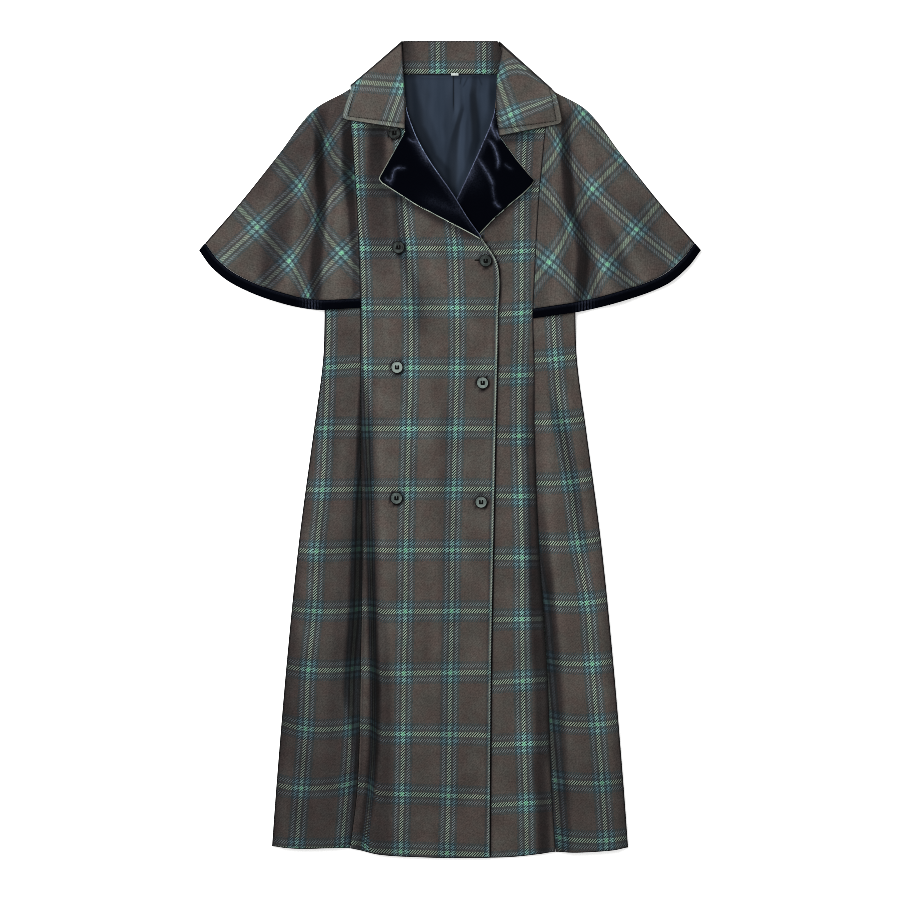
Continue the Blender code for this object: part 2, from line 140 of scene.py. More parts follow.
def mergeShares(*shares):
    return np.unique(np.round(np.concatenate(shares), 6))


def stations(length, step, fineEnds=True):  # shares along a length, closer together at the ends
    fine = np.array([0.0, 0.0007, 0.0015, 0.0027, 0.0042, 0.0060]) / length
    middle = np.linspace(0.0, 1.0, max(int(length / step), 2) + 1)
    return mergeShares(middle[1:-1], fine, 1.0 - fine) if fineEnds else mergeShares(middle)


def grid(look):
    return [stations(length, step) for length, step in zip(look["size"], look["step"])]


def rolledEdge(distance, drop=0.0009, reach=0.0022):  # cloth turns down at a cut or folded edge
    share = np.clip(1.0 - distance / reach, 0.0, 1.0)
    return -drop * (1.0 - np.sqrt(1.0 - 0.96 * share * share))


# painted shade in thin dark lines along outer edges: how dark, and how wide
edgeShadeLines = {"hem": (0.95, 0.0015), "outer": (0.98, 0.0021), "standTop": (0.80, 0.0013),
             "collarCut": (0.85, 0.0006), "collarRoll": (0.80, 0.0012), "collarTurn": (0.97, 0.0018)}
seamDark = 0.75


def edgeShadeLine(name, away):
    dark, wide = edgeShadeLines[name]
    return 1.0 - dark * outline(away, wide)


# body: seams and free edges from the hem up
bodyCut = {"columns": ("y", "side", "rightSeam", "leftSeam", "rightEdge", "leftEdge"), "rows": (
    (-620, 268.9, -152.5, 159.2, 59.3, -64), (-500, 260.2, -138.2, 152, 60, -64),
    (-320, 245.1, -133.7, 145, 61.6, -65), (-140, 226.9, -131.5, 133, 65, -65),
    (30, 204.3, -134.3, 126.6, 68.5, -65), (130, 191, -133.8, 126.2, 70.9, -65),
    (200, 188.2, -133.5, 124.1, 72.1, -65), (275, 189, -135.2, 127.2, 71.8, -56),
    (316, 186, -136.8, 129.2, 48, -22), (345, 177.2, -138.1, 130.9, 27.5, -5.2),
    (380, 166, -140, 133.3, 5.8, 12), (430, 155.8, -144, 137.9, -28.5, 35.5),
    (462, 150.2, -146.7, 141, -46.8, 49.8), (487, 146, -148.5, 143.2, -57.5, 60.5),
    (512, 143.6, -148.7, 144.3, -65, 67.2), (570, 138, -149, 147, -70, 72),
)}
hemLine = {"columns": ("x", "y"), "rows": (
    (-266.5, -595.5), (-225, -598.5), (-180, -597.5), (-150, -599), (-105, -608.1), (-30, -612.2),
    (30, -612.9), (90, -611.8), (135, -607.1), (156, -604), (195, -604), (240, -601.2), (266.5, -597.5),
)}
bodyEnds, hemHalf = (-0.62, 0.57), 0.2680
shoulder = {"neckY": 0.5625, "neckHalf": 0.0730, "x": 0.1490, "endX": 0.1590, "y": 0.5300, "sideTop": 0.4300,
            "standY": 0.5630, "collarTop": 0.6127}
under = {"capeX": (0.0906, 0.1186), "capeY": (0.1515, 0.1905), "collarY": (0.4300, 0.5100)}


def shoulderLine(x):
    slope = ramp(np.abs(x), shoulder["neckHalf"], shoulder["endX"])
    return blend(shoulder["neckY"] - cloth["gap"], shoulder["y"], slope)


def backUnderside(x, y):  # the back lies on the floor and steps up over the capes and the collar
    overCape = ramp(np.abs(x), *under["capeX"]) * ramp(y, *under["capeY"])
    return overBinding * np.maximum(overCape, ramp(y, *under["collarY"]))


def backTop(x, y):
    return backUnderside(x, y) + cloth["coating"]


# materials
def hexColour(text):
    parts = [int(text[i:i + 2], 16) / 255.0 for i in (0, 2, 4)]
    return (*[p / 12.92 if p <= 0.04045 else ((p + 0.055) / 1.055) ** 2.4 for p in parts], 1.0)


# inputs are given by name, or in the node's own order
def addNode(tree, kind, inputs=(), output=0, stops=(), **settings):
    node = tree.nodes.new("ShaderNode" + kind)
    for name, value in settings.items():
        setattr(node, name, value)
    for socket, value in inputs.items() if isinstance(inputs, dict) else enumerate(inputs):
        if isinstance(value, bpy.types.NodeSocket):
            tree.links.new(value, node.inputs[socket])
        else:
            node.inputs[socket].default_value = value
    if stops:
        while len(node.color_ramp.elements) < len(stops):
            node.color_ramp.elements.new(1.0)
        for element, (position, colour) in zip(node.color_ramp.elements, stops):
            element.position, element.color = position, colour
    return node.outputs[output]


def startMaterial(name, **sockets):
    material = bpy.data.materials.new(name)
    material.use_nodes = True
    shader = material.node_tree.nodes["Principled BSDF"]
    for socket, value in sockets.items():
        shader.inputs[socket.replace("_", " ")].default_value = value
    return material, partial(addNode, material.node_tree)


def finishMaterial(material, colour, normal=None):
    tree = material.node_tree
    shader = tree.nodes["Principled BSDF"]
    tree.links.new(colour, shader.inputs["Base Color"])
    if normal is not None:
        tree.links.new(normal, shader.inputs["Normal"])
    return material


# wool coating in a 2/2 twill, woven in a check: soft, matt, with a fine diagonal rib
plaid = {
    "repeatAcross": 0.0695, "repeatDown": 0.0905,
    "ribAcross": 0.0039, "ribDown": 0.0042,  # drawn about twice the real rib so that it shows
    "ground": "46423f", "dark": "303e42", "warpBlue": "66757a", "weftBlue": "5e6c70", "warpGreen": "899c91",
    # under: how dark the sunk yarn is painted; shadow: the tint of painted shade; edge: the pale colour of painted
    # edge highlights
    "weftGreen": "869b8d", "under": 0.05, "shadow": "f8f2ff", "edge": "8f9a8d",
    "ruddy": "fff0ec", "olive": "fbfffa",
    # tints where stripes cross: two stripes, two green ones, and a stripe through the other's dark border
    "cross": (0.81, 1.18, 1.27, 1.0), "greenCross": (0.74, 1.41, 1.12, 1.0),
    "border": (0.66, 0.92, 1.04, 1.0),
    # from the middle of a lengthwise stripe: its colour, and how deep the other yarn sinks in it, which sets its
    # painted shade
    "stops": ((0.0, "Green", 1.0), (0.0023, "Green", 1.0), (0.0032, "dark", 0.0), (0.0058, "dark", 0.0),
              (0.0066, "Blue", 0.7), (0.0098, "Blue", 0.7), (0.0111, "dark", 0.0), (0.0132, "dark", 0.0),
              (0.0150, "ground", 0.0)),
    "rampWidth": 0.02, "weftSpread": 1.17,
    "noises": {"waver": {"Scale": 140.0}, "fuzz": {"Scale": 380.0, "Detail": 3.0, "Roughness": 0.7},
               "cloud": {"Scale": 24.0}, "dye": {"Scale": 55.0, "Detail": 3.0}},
}


def plaidCoating():
    material, add = startMaterial("wool twill coating", Roughness=0.92, Specular_IOR_Level=0.08,
                                  Sheen_Weight=0.06, Sheen_Roughness=0.5)
    place = add("TexCoord", output="Object")
    check, weave = (add("SeparateXYZ", [add("UVMap", uv_map=name)]).node.outputs
                    for name in ("cloth", "weave"))
    waver, fuzz, cloud, dye = (add("TexNoise", {"Vector": place, **look}, "Fac")
                               for look in plaid["noises"].values())
    soft, shade, edge = (add("Attribute", output="Fac", attribute_name=name)
                         for name in ("soft", "shade", "edge"))
    shift = add("MapRange", (waver, 0.2, 0.8, -0.0006, 0.0006))
    strands = []
    for thread, axis, repeat, spread in (("warp", "X", plaid["repeatAcross"], 1.0),
                                         ("weft", "Y", plaid["repeatDown"], plaid["weftSpread"])):
        uneven = add("Math", (check[axis], shift), operation="ADD")
        away = add("Math", (uneven, repeat / 2), operation="PINGPONG")
        share = add("Math", (away, spread * plaid["rampWidth"]), operation="DIVIDE")
        stops = [(distance / plaid["rampWidth"],
                  (*hexColour(plaid.get(name) or plaid[thread + name])[:3], sinks))
                 for distance, name, sinks in plaid["stops"]]
        colour = add("ValToRGB", [share], stops=stops)
        strands.append((colour, colour.node.outputs["Alpha"], add("MapRange", (share, 0.75, 0.66))))
    (warp, warpBand, warpNear), (weft, weftBand, weftNear) = strands
    ribDown = add("Math", (weave["Y"], -2 * math.pi / plaid["ribDown"]), operation="MULTIPLY")
    ribPhase = add("Math", (weave["X"], 2 * math.pi / plaid["ribAcross"], ribDown), operation="MULTIPLY_ADD")
    rib = add("Math", [ribPhase], operation="SINE")
    # where two stripes cross, the paler yarn shows on the raised ribs and the darker one between them
    over = add("MapRange", (rib, -0.35, 0.35), interpolation_type="SMOOTHSTEP")
    raised = add("Mix", {0: soft, 2: over, 3: 0.5})
    both = add("Math", (warpBand, weftBand), operation="MULTIPLY")
    crossing = add("MapRange", (both, 0.0, 0.45))
    darker = add("Mix", {0: crossing, 6: weft, 7: warp}, 2, data_type="RGBA", blend_type="DARKEN")
    paler = add("Mix", {0: crossing, 6: warp, 7: weft}, 2, data_type="RGBA", blend_type="LIGHTEN")
    woven = add("Mix", {0: raised, 6: darker, 7: paler}, 2, data_type="RGBA")
    greens = add("MapRange", (both, 0.75, 1.0))
    crossTint = add("Mix", {0: greens, 6: plaid["cross"], 7: plaid["greenCross"]}, 2, data_type="RGBA")
    crossed = add("Mix", {0: crossing, 6: woven, 7: crossTint}, 2, data_type="RGBA", blend_type="MULTIPLY")
    anyBand = add("Math", (warpBand, weftBand), operation="MAXIMUM")
    nearBoth = add("Math", (warpNear, weftNear), operation="MULTIPLY")
    bandNear = add("Math", (nearBoth, anyBand), operation="MULTIPLY")
    bordering = add("Math", (bandNear, crossing), operation="SUBTRACT", use_clamp=True)
    bordered = add("Mix", {0: bordering, 6: crossed, 7: plaid["border"]}, 2, data_type="RGBA",
                   blend_type="MULTIPLY")
    # painted shade: the other yarn lies deep between the raised ribs of a stripe and is drawn darker there
    oneBand = add("Mix", {0: raised, 2: warpBand, 3: weftBand})
    between = add("MapRange", (raised, 0.0, 1.0, 0.74, 0.0))
    sunkShade = add("Mix", {0: crossing, 2: oneBand, 3: between})
    evenly = add("Math", (anyBand, 0.2), operation="MULTIPLY")
    ribShade = add("Mix", {0: soft, 2: sunkShade, 3: evenly})
    # wool fuzz, soft clouds, and dye that is ruddy in one place and olive in another
    dyeShare = add("MapRange", (dye, 0.35, 0.65))
    dyes = {0: dyeShare, 6: hexColour(plaid["ruddy"]), 7: hexColour(plaid["olive"])}
    dyeTint = add("Mix", dyes, 2, data_type="RGBA")
    dyed = add("Mix", {0: 1.0, 6: bordered, 7: dyeTint}, 2, data_type="RGBA", blend_type="MULTIPLY")
    # the tone multiplies fuzz and clouds with painted shade: the rib's relief, the shade attribute and the sunk
    # yarn
    tone = add("MapRange", (fuzz, 0.3, 0.7, 0.66, 1.34))
    for factor in (add("MapRange", (cloud, 0.3, 0.7, 0.84, 1.16)),
                   add("Math", (rib, 0.05, 1.0), operation="MULTIPLY_ADD"), shade,
                   add("MapRange", (ribShade, 0.0, 1.0, 1.0, plaid["under"]))):
        tone = add("Math", (tone, factor), operation="MULTIPLY")
    # painted highlight from the edge attribute, then the shadow tint where the painted shade is deep
    faced = add("Mix", {0: edge, 6: dyed, 7: hexColour(plaid["edge"])}, 2, data_type="RGBA")
    dim = add("MapRange", (shade, 1.0, 0.25))
    shadowTinted = add("Mix", {0: dim, 6: faced, 7: hexColour(plaid["shadow"])}, 2, data_type="RGBA",
               blend_type="MULTIPLY")
    toned = add("VectorMath", {0: shadowTinted, "Scale": tone}, operation="SCALE")
    height = add("Math", (rib, 0.25, fuzz), operation="MULTIPLY_ADD")
    bump = add("Bump", {"Height": height, "Strength": 0.30, "Distance": 0.0006})
    return finishMaterial(material, toned, bump)


def threeTones(look, names):  # from the first colour over the second, half way, to the third
    return [(i / 2, hexColour(look[name])) for i, name in enumerate(names)]


# silk velvet: almost black face-on; where its pile bends to the light it turns blue, drawn as a painted highlight
# from the bent colour to the paler rolled colour
velvet = {"pile": "030408", "bent": "565d74", "rolled": "8fafc7", "sheenTint": "6f7fb8", "nap": 380.0}


def velvetPile():
    material, add = startMaterial("velvet pile", Roughness=0.85, Specular_IOR_Level=0.0, Sheen_Weight=0.05,
                                  Sheen_Roughness=0.28, Sheen_Tint=hexColour(velvet["sheenTint"]))
    place = add("TexCoord", output="Object")
    nap = add("TexNoise", {"Vector": place, "Scale": velvet["nap"], "Detail": 4.0, "Roughness": 0.7}, "Fac")
    # painted highlight: the glint attribute, broken up by the nap, moves the colour from the pile over the bent
    # colour towards the rolled one
    glint = add("Attribute", output="Fac", attribute_name="glint")
    share = add("Math", (glint, add("MapRange", (nap, 0.35, 0.65, 0.15, 0.65))), operation="MULTIPLY")
    colour = add("ValToRGB", [share], stops=threeTones(velvet, ("pile", "bent", "rolled")))
    bump = add("Bump", {"Height": nap, "Strength": 0.25, "Distance": 0.0004})
    return finishMaterial(material, colour, bump)


# acetate satin lining: smooth, dark blue, with faint long streaks along its warp painted as sheen from a deep and
# a lit blue; the shade attribute paints its fold shadows
satin = {"deep": "1c242e", "lit": "2b333f", "drift": 70.0, "thread": 1500.0}


def satinLining():
    material, add = startMaterial("acetate satin", Roughness=0.42, Specular_IOR_Level=0.01)
    place = add("Mapping", {"Vector": add("TexCoord", output="Object"), "Scale": (1.0, 0.12, 1.0)})
    drift = add("TexNoise", {"Vector": place, "Scale": satin["drift"], "Detail": 3.0}, "Fac")
    thread = add("TexNoise", {"Vector": place, "Scale": satin["thread"], "Detail": 1.0}, "Fac")
    shade = add("Attribute", output="Fac", attribute_name="shade")
    tints = {0: drift, 6: hexColour(satin["deep"]), 7: hexColour(satin["lit"])}
    colour = add("Mix", tints, 2, data_type="RGBA")
    toned = add("VectorMath", {0: colour, "Scale": shade}, operation="SCALE")
    bump = add("Bump", {"Height": thread, "Strength": 0.12, "Distance": 0.0002})
    return finishMaterial(material, toned, bump)


# cast polyester button: grey-green with a faint horn-like cloud, polished
resin = {"dark": "060707", "mid": "4a5451", "pale": "7d8983", "cloud": 160.0}


def buttonResin():
    material, add = startMaterial("polyester resin", Roughness=0.50, Specular_IOR_Level=0.10)
    place = add("TexCoord", output="Object")
    cloud = add("TexNoise", {"Vector": place, "Scale": resin["cloud"], "Detail": 3.0, "Distortion": 0.8},
                "Fac")
    shade = add("Attribute", output="Fac", attribute_name="shade")
    share = add("Math", (add("MapRange", (cloud, 0.25, 0.75, -0.18, 0.18)), shade), operation="ADD")
    colour = add("ValToRGB", [share], stops=threeTones(resin, ("dark", "mid", "pale")))
    return finishMaterial(material, colour)


# spun polyester sewing thread: dull, twisted
def sewingThread(name, colour):
    material, add = startMaterial(name, Roughness=0.7, Specular_IOR_Level=0.06)
    place = add("TexCoord", output="Object")
    twist = add("TexNoise", {"Vector": place, "Scale": 2200.0, "Detail": 1.0}, "Fac")
    tone = add("MapRange", (twist, 0.3, 0.7, 0.75, 1.25))
    toned = add("VectorMath", {0: hexColour(colour)[:3], "Scale": tone}, operation="SCALE")
    return finishMaterial(material, toned)


# woven polyester label tape: pale grey, with a fine cross rib
def labelTape():
    material, add = startMaterial("woven label tape", Roughness=0.6)
    place = add("TexCoord", output="Object")
    rib = add("TexWave", {"Vector": place, "Scale": 260.0, "Distortion": 0.4}, "Fac")
    colour = add("Mix", {0: rib, 6: hexColour("8f9793"), 7: hexColour("b9c2be")}, 2, data_type="RGBA")
    return finishMaterial(material, colour)


# smooth white paper under the coat, faintly clouded; it glows a little, a painted light that pales the shadows on
# it
def mattPaper():
    material, add = startMaterial("matt paper", Roughness=0.9, Specular_IOR_Level=0.1, Emission_Strength=0.40)
    place = add("TexCoord", output="Object")
    cloud = add("TexNoise", {"Vector": place, "Scale": 40.0, "Detail": 2.0}, "Fac")
    colour = add("Mix", {0: cloud, 6: hexColour("f4f4f2"), 7: hexColour("f8f8f7")}, 2, data_type="RGBA")
    return finishMaterial(material, colour)


finishes = {
    "plaid_coating": plaidCoating(), "velvet": velvetPile(), "lining_satin": satinLining(),
    "button_resin": buttonResin(), "label_tape": labelTape(),
    "collarThread": sewingThread("topstitch thread", "24261f"),
    "darkThread": sewingThread("button thread", "030303"),
}
print("materials made:", len(finishes))


# pieces
def linkObject(name, data):
    item = bpy.data.objects.new(name, data)
    bpy.context.scene.collection.objects.link(item)
    return item


def linkMesh(name, bm, material=None):
    mesh = bpy.data.meshes.new(name)
    bm.to_mesh(mesh)
    bm.free()
    if material:
        mesh.materials.append(material)
    return linkObject(name, mesh)


def linkPiece(name, bm, finish, smooth=False):
    for face in bm.faces if smooth else ():
        face.smooth = True
    return linkMesh(name + "_cloth", bm, finishes[finish])


def declare(piece, slot, node=None, flat=None, area=None, restsOn=(), goesWith=()):
    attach(piece, "root")
    if node:
        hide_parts(node)
    return piece


def startGrid(acrossShares, upShares):
    columns, rows = len(acrossShares) - 1, len(upShares) - 1
    bm = bmesh.new()
    bmesh.ops.create_grid(bm, x_segments=columns, y_segments=rows, size=0.5)
    across = np.array([acrossShares[round((v.co.x + 0.5) * columns)] for v in bm.verts])
    up = np.array([upShares[round((v.co.y + 0.5) * rows)] for v in bm.verts])
    return bm, across, up


# the tones are the painted shade, the painted highlights on edges and velvet, and the twill's softness
def dressGrid(bm, laid):  # places, tones, and the maps of the check and the rib
    laid = {"u": laid["x"], "v": laid["y"], "shade": 1.0, "edge": 0.0, "glint": 0.0, "soft": 0.0, **laid}
    laid = {"ribU": laid["u"], "ribV": laid["v"], **laid}
    laid = {key: np.broadcast_to(values, len(bm.verts)).tolist() for key, values in laid.items()}
    maps = [(bm.loops.layers.uv.new("cloth"), "u", "v"), (bm.loops.layers.uv.new("weave"), "ribU", "ribV")]
    layers = {key: bm.verts.layers.float.new(key) for key in ("shade", "edge", "glint", "soft")}
    bm.verts.index_update()
    for v in bm.verts:
        v.co = [laid[axis][v.index] for axis in "xyz"]
        for key, values in layers.items():
            v[values] = laid[key][v.index]
    for face in bm.faces:
        for loop in face.loops:
            i = loop.vert.index
            for values, first, second in maps:
                loop[values].uv = (laid[first][i], laid[second][i])


def addSheet(name, acrossShares, upShares, lay, wall, slot, *cut):
    bm, across, up = startGrid(acrossShares, upShares)
    dressGrid(bm, lay(across, up))
    raised = bmesh.ops.extrude_face_region(bm, geom=bm.faces[:])
    top = [item for item in raised["geom"] if isinstance(item, bmesh.types.BMVert)]
    bmesh.ops.translate(bm, verts=top, vec=(0.0, 0.0, wall))
    bmesh.ops.recalc_face_normals(bm, faces=bm.faces)
    for face in bm.faces:
        face.smooth = abs(face.normal.z) > 0.25
    return declare(linkPiece(name, bm, slot), slot, name, *cut)


# back and lining
back = {"size": (0.450, 1.160), "step": (0.010, 0.010), "flat": (0.540, 1.172), "area": 0.49,
        "hemShort": 0.0040, "checkX": 0.0045}
lining = {
    "size": (0.17, 0.262), "flat": (0.172, 0.264), "area": 0.0446, "half": 0.085, "bottom": 0.3,
    "step": (0.0015, 0.0015), "seamX": 0.0052,
    # long folds, down from the neck: from, to, rise, spread
    "folds": (
        (-26, 550, -33, 390, 1.6, 11), (-5, 550, 2, 360, -1.2, 6), (18, 560, 15, 340, 1.6, 7.5),
        (30, 560, 28, 460, -1.2, 6), (44, 560, 41, 470, 1.4, 6), (-45, 560, -48, 480, -1, 8),
    ),
    # painted shade and light of small wrinkles under the neck seam: from, to, tone, spread
    "tones": (
        (-48, 559, -1, 558.5, 0.4, 1.2), (27, 559, 19.5, 543, -0.4, 1.3), (17, 559, 15, 547, -0.45, 1.1),
        (43, 559, 48, 546, -0.35, 1.3),
    ),
    # from the right edge over to the left one, dark and lit in turn
    "shadows": (
        ((375, 3, 11, 0.5), (419.3, -10.5, 12, 0.7), (441.8, -30, 10.5, 1.3), (464.3, -39, 10.5, 1.4),
         (486.8, -49.5, 10, 1.3), (509.3, -53, 12.5, 1), (531.8, -58, 10.5, 1), (564, -61, 8.5, 0.9)),
        ((441.8, -15, 4.5, 0), (464.3, -12, 6, -0.35), (486.8, -18, 7.5, -0.4), (509.3, -20, 15, -0.35),
         (531.8, -15, 15, -0.4), (562.5, -15, 30, -0.3)),
        ((375, 6, 6, 0.4), (419.3, 0, 9, 0.7), (441.8, 3, 7.5, 0.6), (464.3, 6, 5.5, 0.9),
         (486.8, 11.3, 3.6, 1.1), (509.3, 18, 3, 0.6), (520, 19.5, 2.5, 0)),
        ((486.8, 4.5, 4, 0), (509.3, 10.5, 4, -0.55), (531.8, 11, 5, -0.4), (556, 11, 5, -0.2)),
        ((380, 13, 6, 0), (419.3, 18, 6, -0.5), (441.8, 16.5, 5.5, -0.65), (464.3, 18, 5, -0.7),
         (486.8, 19.5, 4.5, -0.55), (509.3, 24, 4, -0.3), (531.8, 23.5, 6, -0.5), (562.5, 23, 7, -0.4)),
        ((425, 29, 6, 0), (441.8, 33, 6, 0.7), (464.3, 39, 6.5, 1.3), (486.8, 38.3, 6.5, 1.4),
         (509.3, 36, 6, 1.6), (531.8, 34.5, 5, 1.5), (545, 36, 4.5, 0.8), (560, 37.5, 4, 0.5)),
        ((486.8, 51, 6, 0), (509.3, 51, 6, -0.4), (531.8, 49.5, 6, -0.45), (555.8, 54, 5, 0)),
        ((499, 66, 5, 0), (531.8, 64.5, 6, 0.7), (564, 64, 5, 0.3)),
    ),
}


def layBack(across, up):
    spread = 2 * across - 1
    bottom = curve(hemLine, "y", spread * hemHalf) + back["hemShort"]
    y = blend(bottom, shoulderLine(spread * shoulder["x"]), up)
    x = spread * curve(bodyCut, "side", y)
    return {"x": x, "y": y, "z": backUnderside(x, y), "u": x - back["checkX"]}


def layLining(across, up):
    x = blend(-lining["half"], lining["half"], across)
    y = blend(lining["bottom"], shoulder["neckY"] - cloth["gap"], up)
    fromRight, fromLeft = x - curve(bodyCut, "rightEdge", y), curve(bodyCut, "leftEdge", y) - x
    inside = ramp(fromRight, 0.0, 0.012) * ramp(fromLeft, 0.0, 0.012)
    inside = inside * ramp(shoulder["neckY"] - y, 0.002, 0.022)
    seam = hump(x - lining["seamX"], 0.0011) * ramp(y, 0.500, 0.520)
    lift = np.maximum(0.0014 + mm * foldLines(lining["folds"], x, y), 0.0) - 0.0004 * seam
    z = backTop(x, y) + cloth["gap"] + cloth["slack"] + lift * inside
    # painted shade under the collar
    underCollarShade = 1.0 - 0.35 * ramp(y, 0.552, shoulder["neckY"])
    shade = np.clip(1.0 + foldLines(lining["tones"], x, y) - 0.75 * seam, 0.25, 1.8) * underCollarShade
    return {"x": x, "y": y, "z": z, "shade": shade * foldShade(lining["shadows"], x, y)}


addSheet("back", *grid(back), layBack, cloth["coating"], "plaid_coating", back["flat"], back["area"],
         ["cape_back_right", "cape_back_left"])
addSheet("lining_back", *grid(lining), layLining, cloth["satin"], "lining_satin",
         lining["flat"], lining["area"],
         ["back"])
print("back and lining laid")

# buttons, down the right column and then the left, with how pale each one is
buttons = {
    "diameter": 0.0192, "thickness": 0.0040, "foot": 0.93, "edge": 0.0010,
    "insets": (0.0003, 0.0002, 0.0005, 0.0005),
    "dish": 0.0009, "hole": 0.0016, "holeSpacing": 0.0038, "thread": 0.0013, "lean": 0.4,
    "spots": ((-0.0833, 0.4735, 0.05), (-0.0770, 0.3018, 0.14), (-0.0795, 0.1230, 1.0),
              (-0.0802, -0.0728, 0.50),
              (0.0531, 0.2820, 0.18), (0.0488, 0.0998, 0.75), (0.0465, -0.0788, 0.70)),
    "hole5": (0.0372, 0.0440, 0.2832),
}

# centre fronts: underside away from the seam, at the seam, and the fold beside it
levels = {"columns": ("y", "body", "seam", "ridge"), "rows": (
    (-620, 2.6, 2.6, 0.8), (-520, 2.8, 2.6, 3), (-330, 3, 2.5, 6), (-120, 3, 2.5, 6), (40, 3, 2.6, 3),
    (120, 3.4, 3, 0.6), (170, 4.8, 4.8, 0.2), (215, 6.8, 8.6, 0), (300, 7.6, 8.6, 0), (580, 7.6, 8.6, 0),
)}
rightFront = {
    "size": (0.195, 1.17), "flat": (0.235, 1.18), "area": 0.232, "step": (0.003, 0.006),
    # the green line nearest the middle, its lift and tilt, and cloth drawn into the fold by the seam
    "check": {"columns": ("y", "line", "hidden", "lift", "tilt"), "rows": (
        (-601, -4.5, 30, 10, -0.035), (-518, -2.3, 43, 11.5, -0.037), (-443, -0.9, 49, 10.5, -0.022),
        (-360, 0, 48, 9, 0.008), (-226, 2.6, 38.8, 4, 0.004), (-151, 3.1, 34, 1, 0), (-76, 5, 28, 0, 0),
        (29, 7.7, 14, 0, 0), (122, 10.5, 3, 0, 0), (212, 10.5, 0, 0, 0), (301, 7.5, 0, 0, 0),
        (332, 4.2, 0, 0, 0), (395, 0, 0, 0, 0), (485, -3, 0, 0, 0),
    )},
    # where the green line beside the seam disappears into the crease
    "drawnIn": {"columns": ("y", "x"), "rows": (
        (-594, -127.5), (-503, -118.5), (-443, -115), (-360, -115), (-226, -117), (-76, -120), (29, -124.5),
        (179, -129.2),
    )},
    "rows": {"columns": ("y", "row"), "rows": (
        (-695, 11), (-605.3, 10), (-519, 9), (-427.2, 8), (-334.5, 7), (-242.3, 6), (-150.8, 5), (-59.3, 4),
        (31.5, 3), (122.6, 2), (212.2, 1), (300.9, 0), (394.7, -1), (484.5, -2), (575, -3),
    )},
    # pull folds from the top button, a long soft hollow, and the hem's waves
    "folds": (
        (-30, 270, 45, 164, 1.6, 13), (-48, 315, -25.5, 190, -1.4, 10), (-34, 50, -34, -360, -1.2, 11),
        (-90, 210, -93, 60, 1.4, 16), (-100, 460, -100, 390, -1.2, 7), (-65, -430, -56, -610, -1.2, 13),
        (25, 20, 23, -230, 1, 12),
    ),
    "tones": ((-30, 270, 45, 164, 0.1, 13), (-93, 210, -93, 110, 0.1, 16)),
    "shadows": (
        # the crease beside the ridge, the slope after it, and the ridge itself
        ((-613, -133.5, 11, 0.6), (-593.3, -130.5, 10, 0.8), (-548.3, -124.5, 8.5, 1.2),
         (-503.3, -118.5, 8, 1.7), (-450.8, -114, 8, 2.7), (-360.8, -112, 8, 3), (-270.8, -116, 6.8, 2.9),
         (-90.8, -122.2, 6.2, 2.8), (-0.8, -124.5, 8, 2.9), (44.3, -126.5, 7.5, 2.2), (96.8, -129.5, 6, 1.2),
         (130, -131, 5, 0)),
        ((-613, -105, 18, 0.9), (-450, -100, 15, 0.9), (-360, -100, 12, 0.9), (-270, -103, 10, 0.7),
         (-180, -108, 9, 0.3), (-90, -112, 9, 0)),
        ((-613, -142, 8, 0.9), (-548, -135, 8, 1), (-480, -129, 7.5, 0.9), (-400, -128, 7.5, 0.5),
         (-360, -128, 7.5, 0.4), (-230, -129, 7, 0.6), (-140, -131, 5.5, 0.6), (-50, -133.8, 3.6, 0.9),
         (40, -134.5, 3, 1.2), (97, -134.5, 3, 1), (120, -134.5, 3, 0)),
        # the fold from under the collar, the pull towards the top button, and the hollow at the middle
        ((240, -99, 20, 0), (284.3, -102, 20, 0.5), (344.3, -108, 19, 0.8), (389.3, -108, 16, 1.2),
         (419.3, -111, 13.5, 1.7), (449.3, -109.5, 13.5, 2.1), (490, -109.5, 13.5, 2.2)),
        ((165, -39, 10, 0), (194.3, -45, 10.5, 0.4), (239.3, -52.5, 10.5, 0.7), (284.3, -69, 10, 0.9),
         (329.3, -76.5, 9.5, 0.9), (389.3, -81, 9, 0.9)),
        ((-530, -4.5, 13, 0), (-450, -4.5, 13, 0.3), (50, -4.5, 13, 0.35), (90, -4.5, 13, 0)),
        # the ridge lit beside it, and the lower front
        ((-230, -39, 12, 0), (-170, -39, 12, -0.3), (60, -38, 12, -0.35), (110, -38, 12, 0)),
        ((-620, -30, 80, 0.25), (-560, -30, 80, 0.2), (-460, -30, 80, 0.15), (-360, -30, 80, 0)),
    ),
    # shadows of the collar and the lapel: from, to, depth in stops, spread
    "cast": ((-140, 483, -68, 479, 1, 7), (-106, 394.5, 42, 313, 1.7, 6.5)),
}
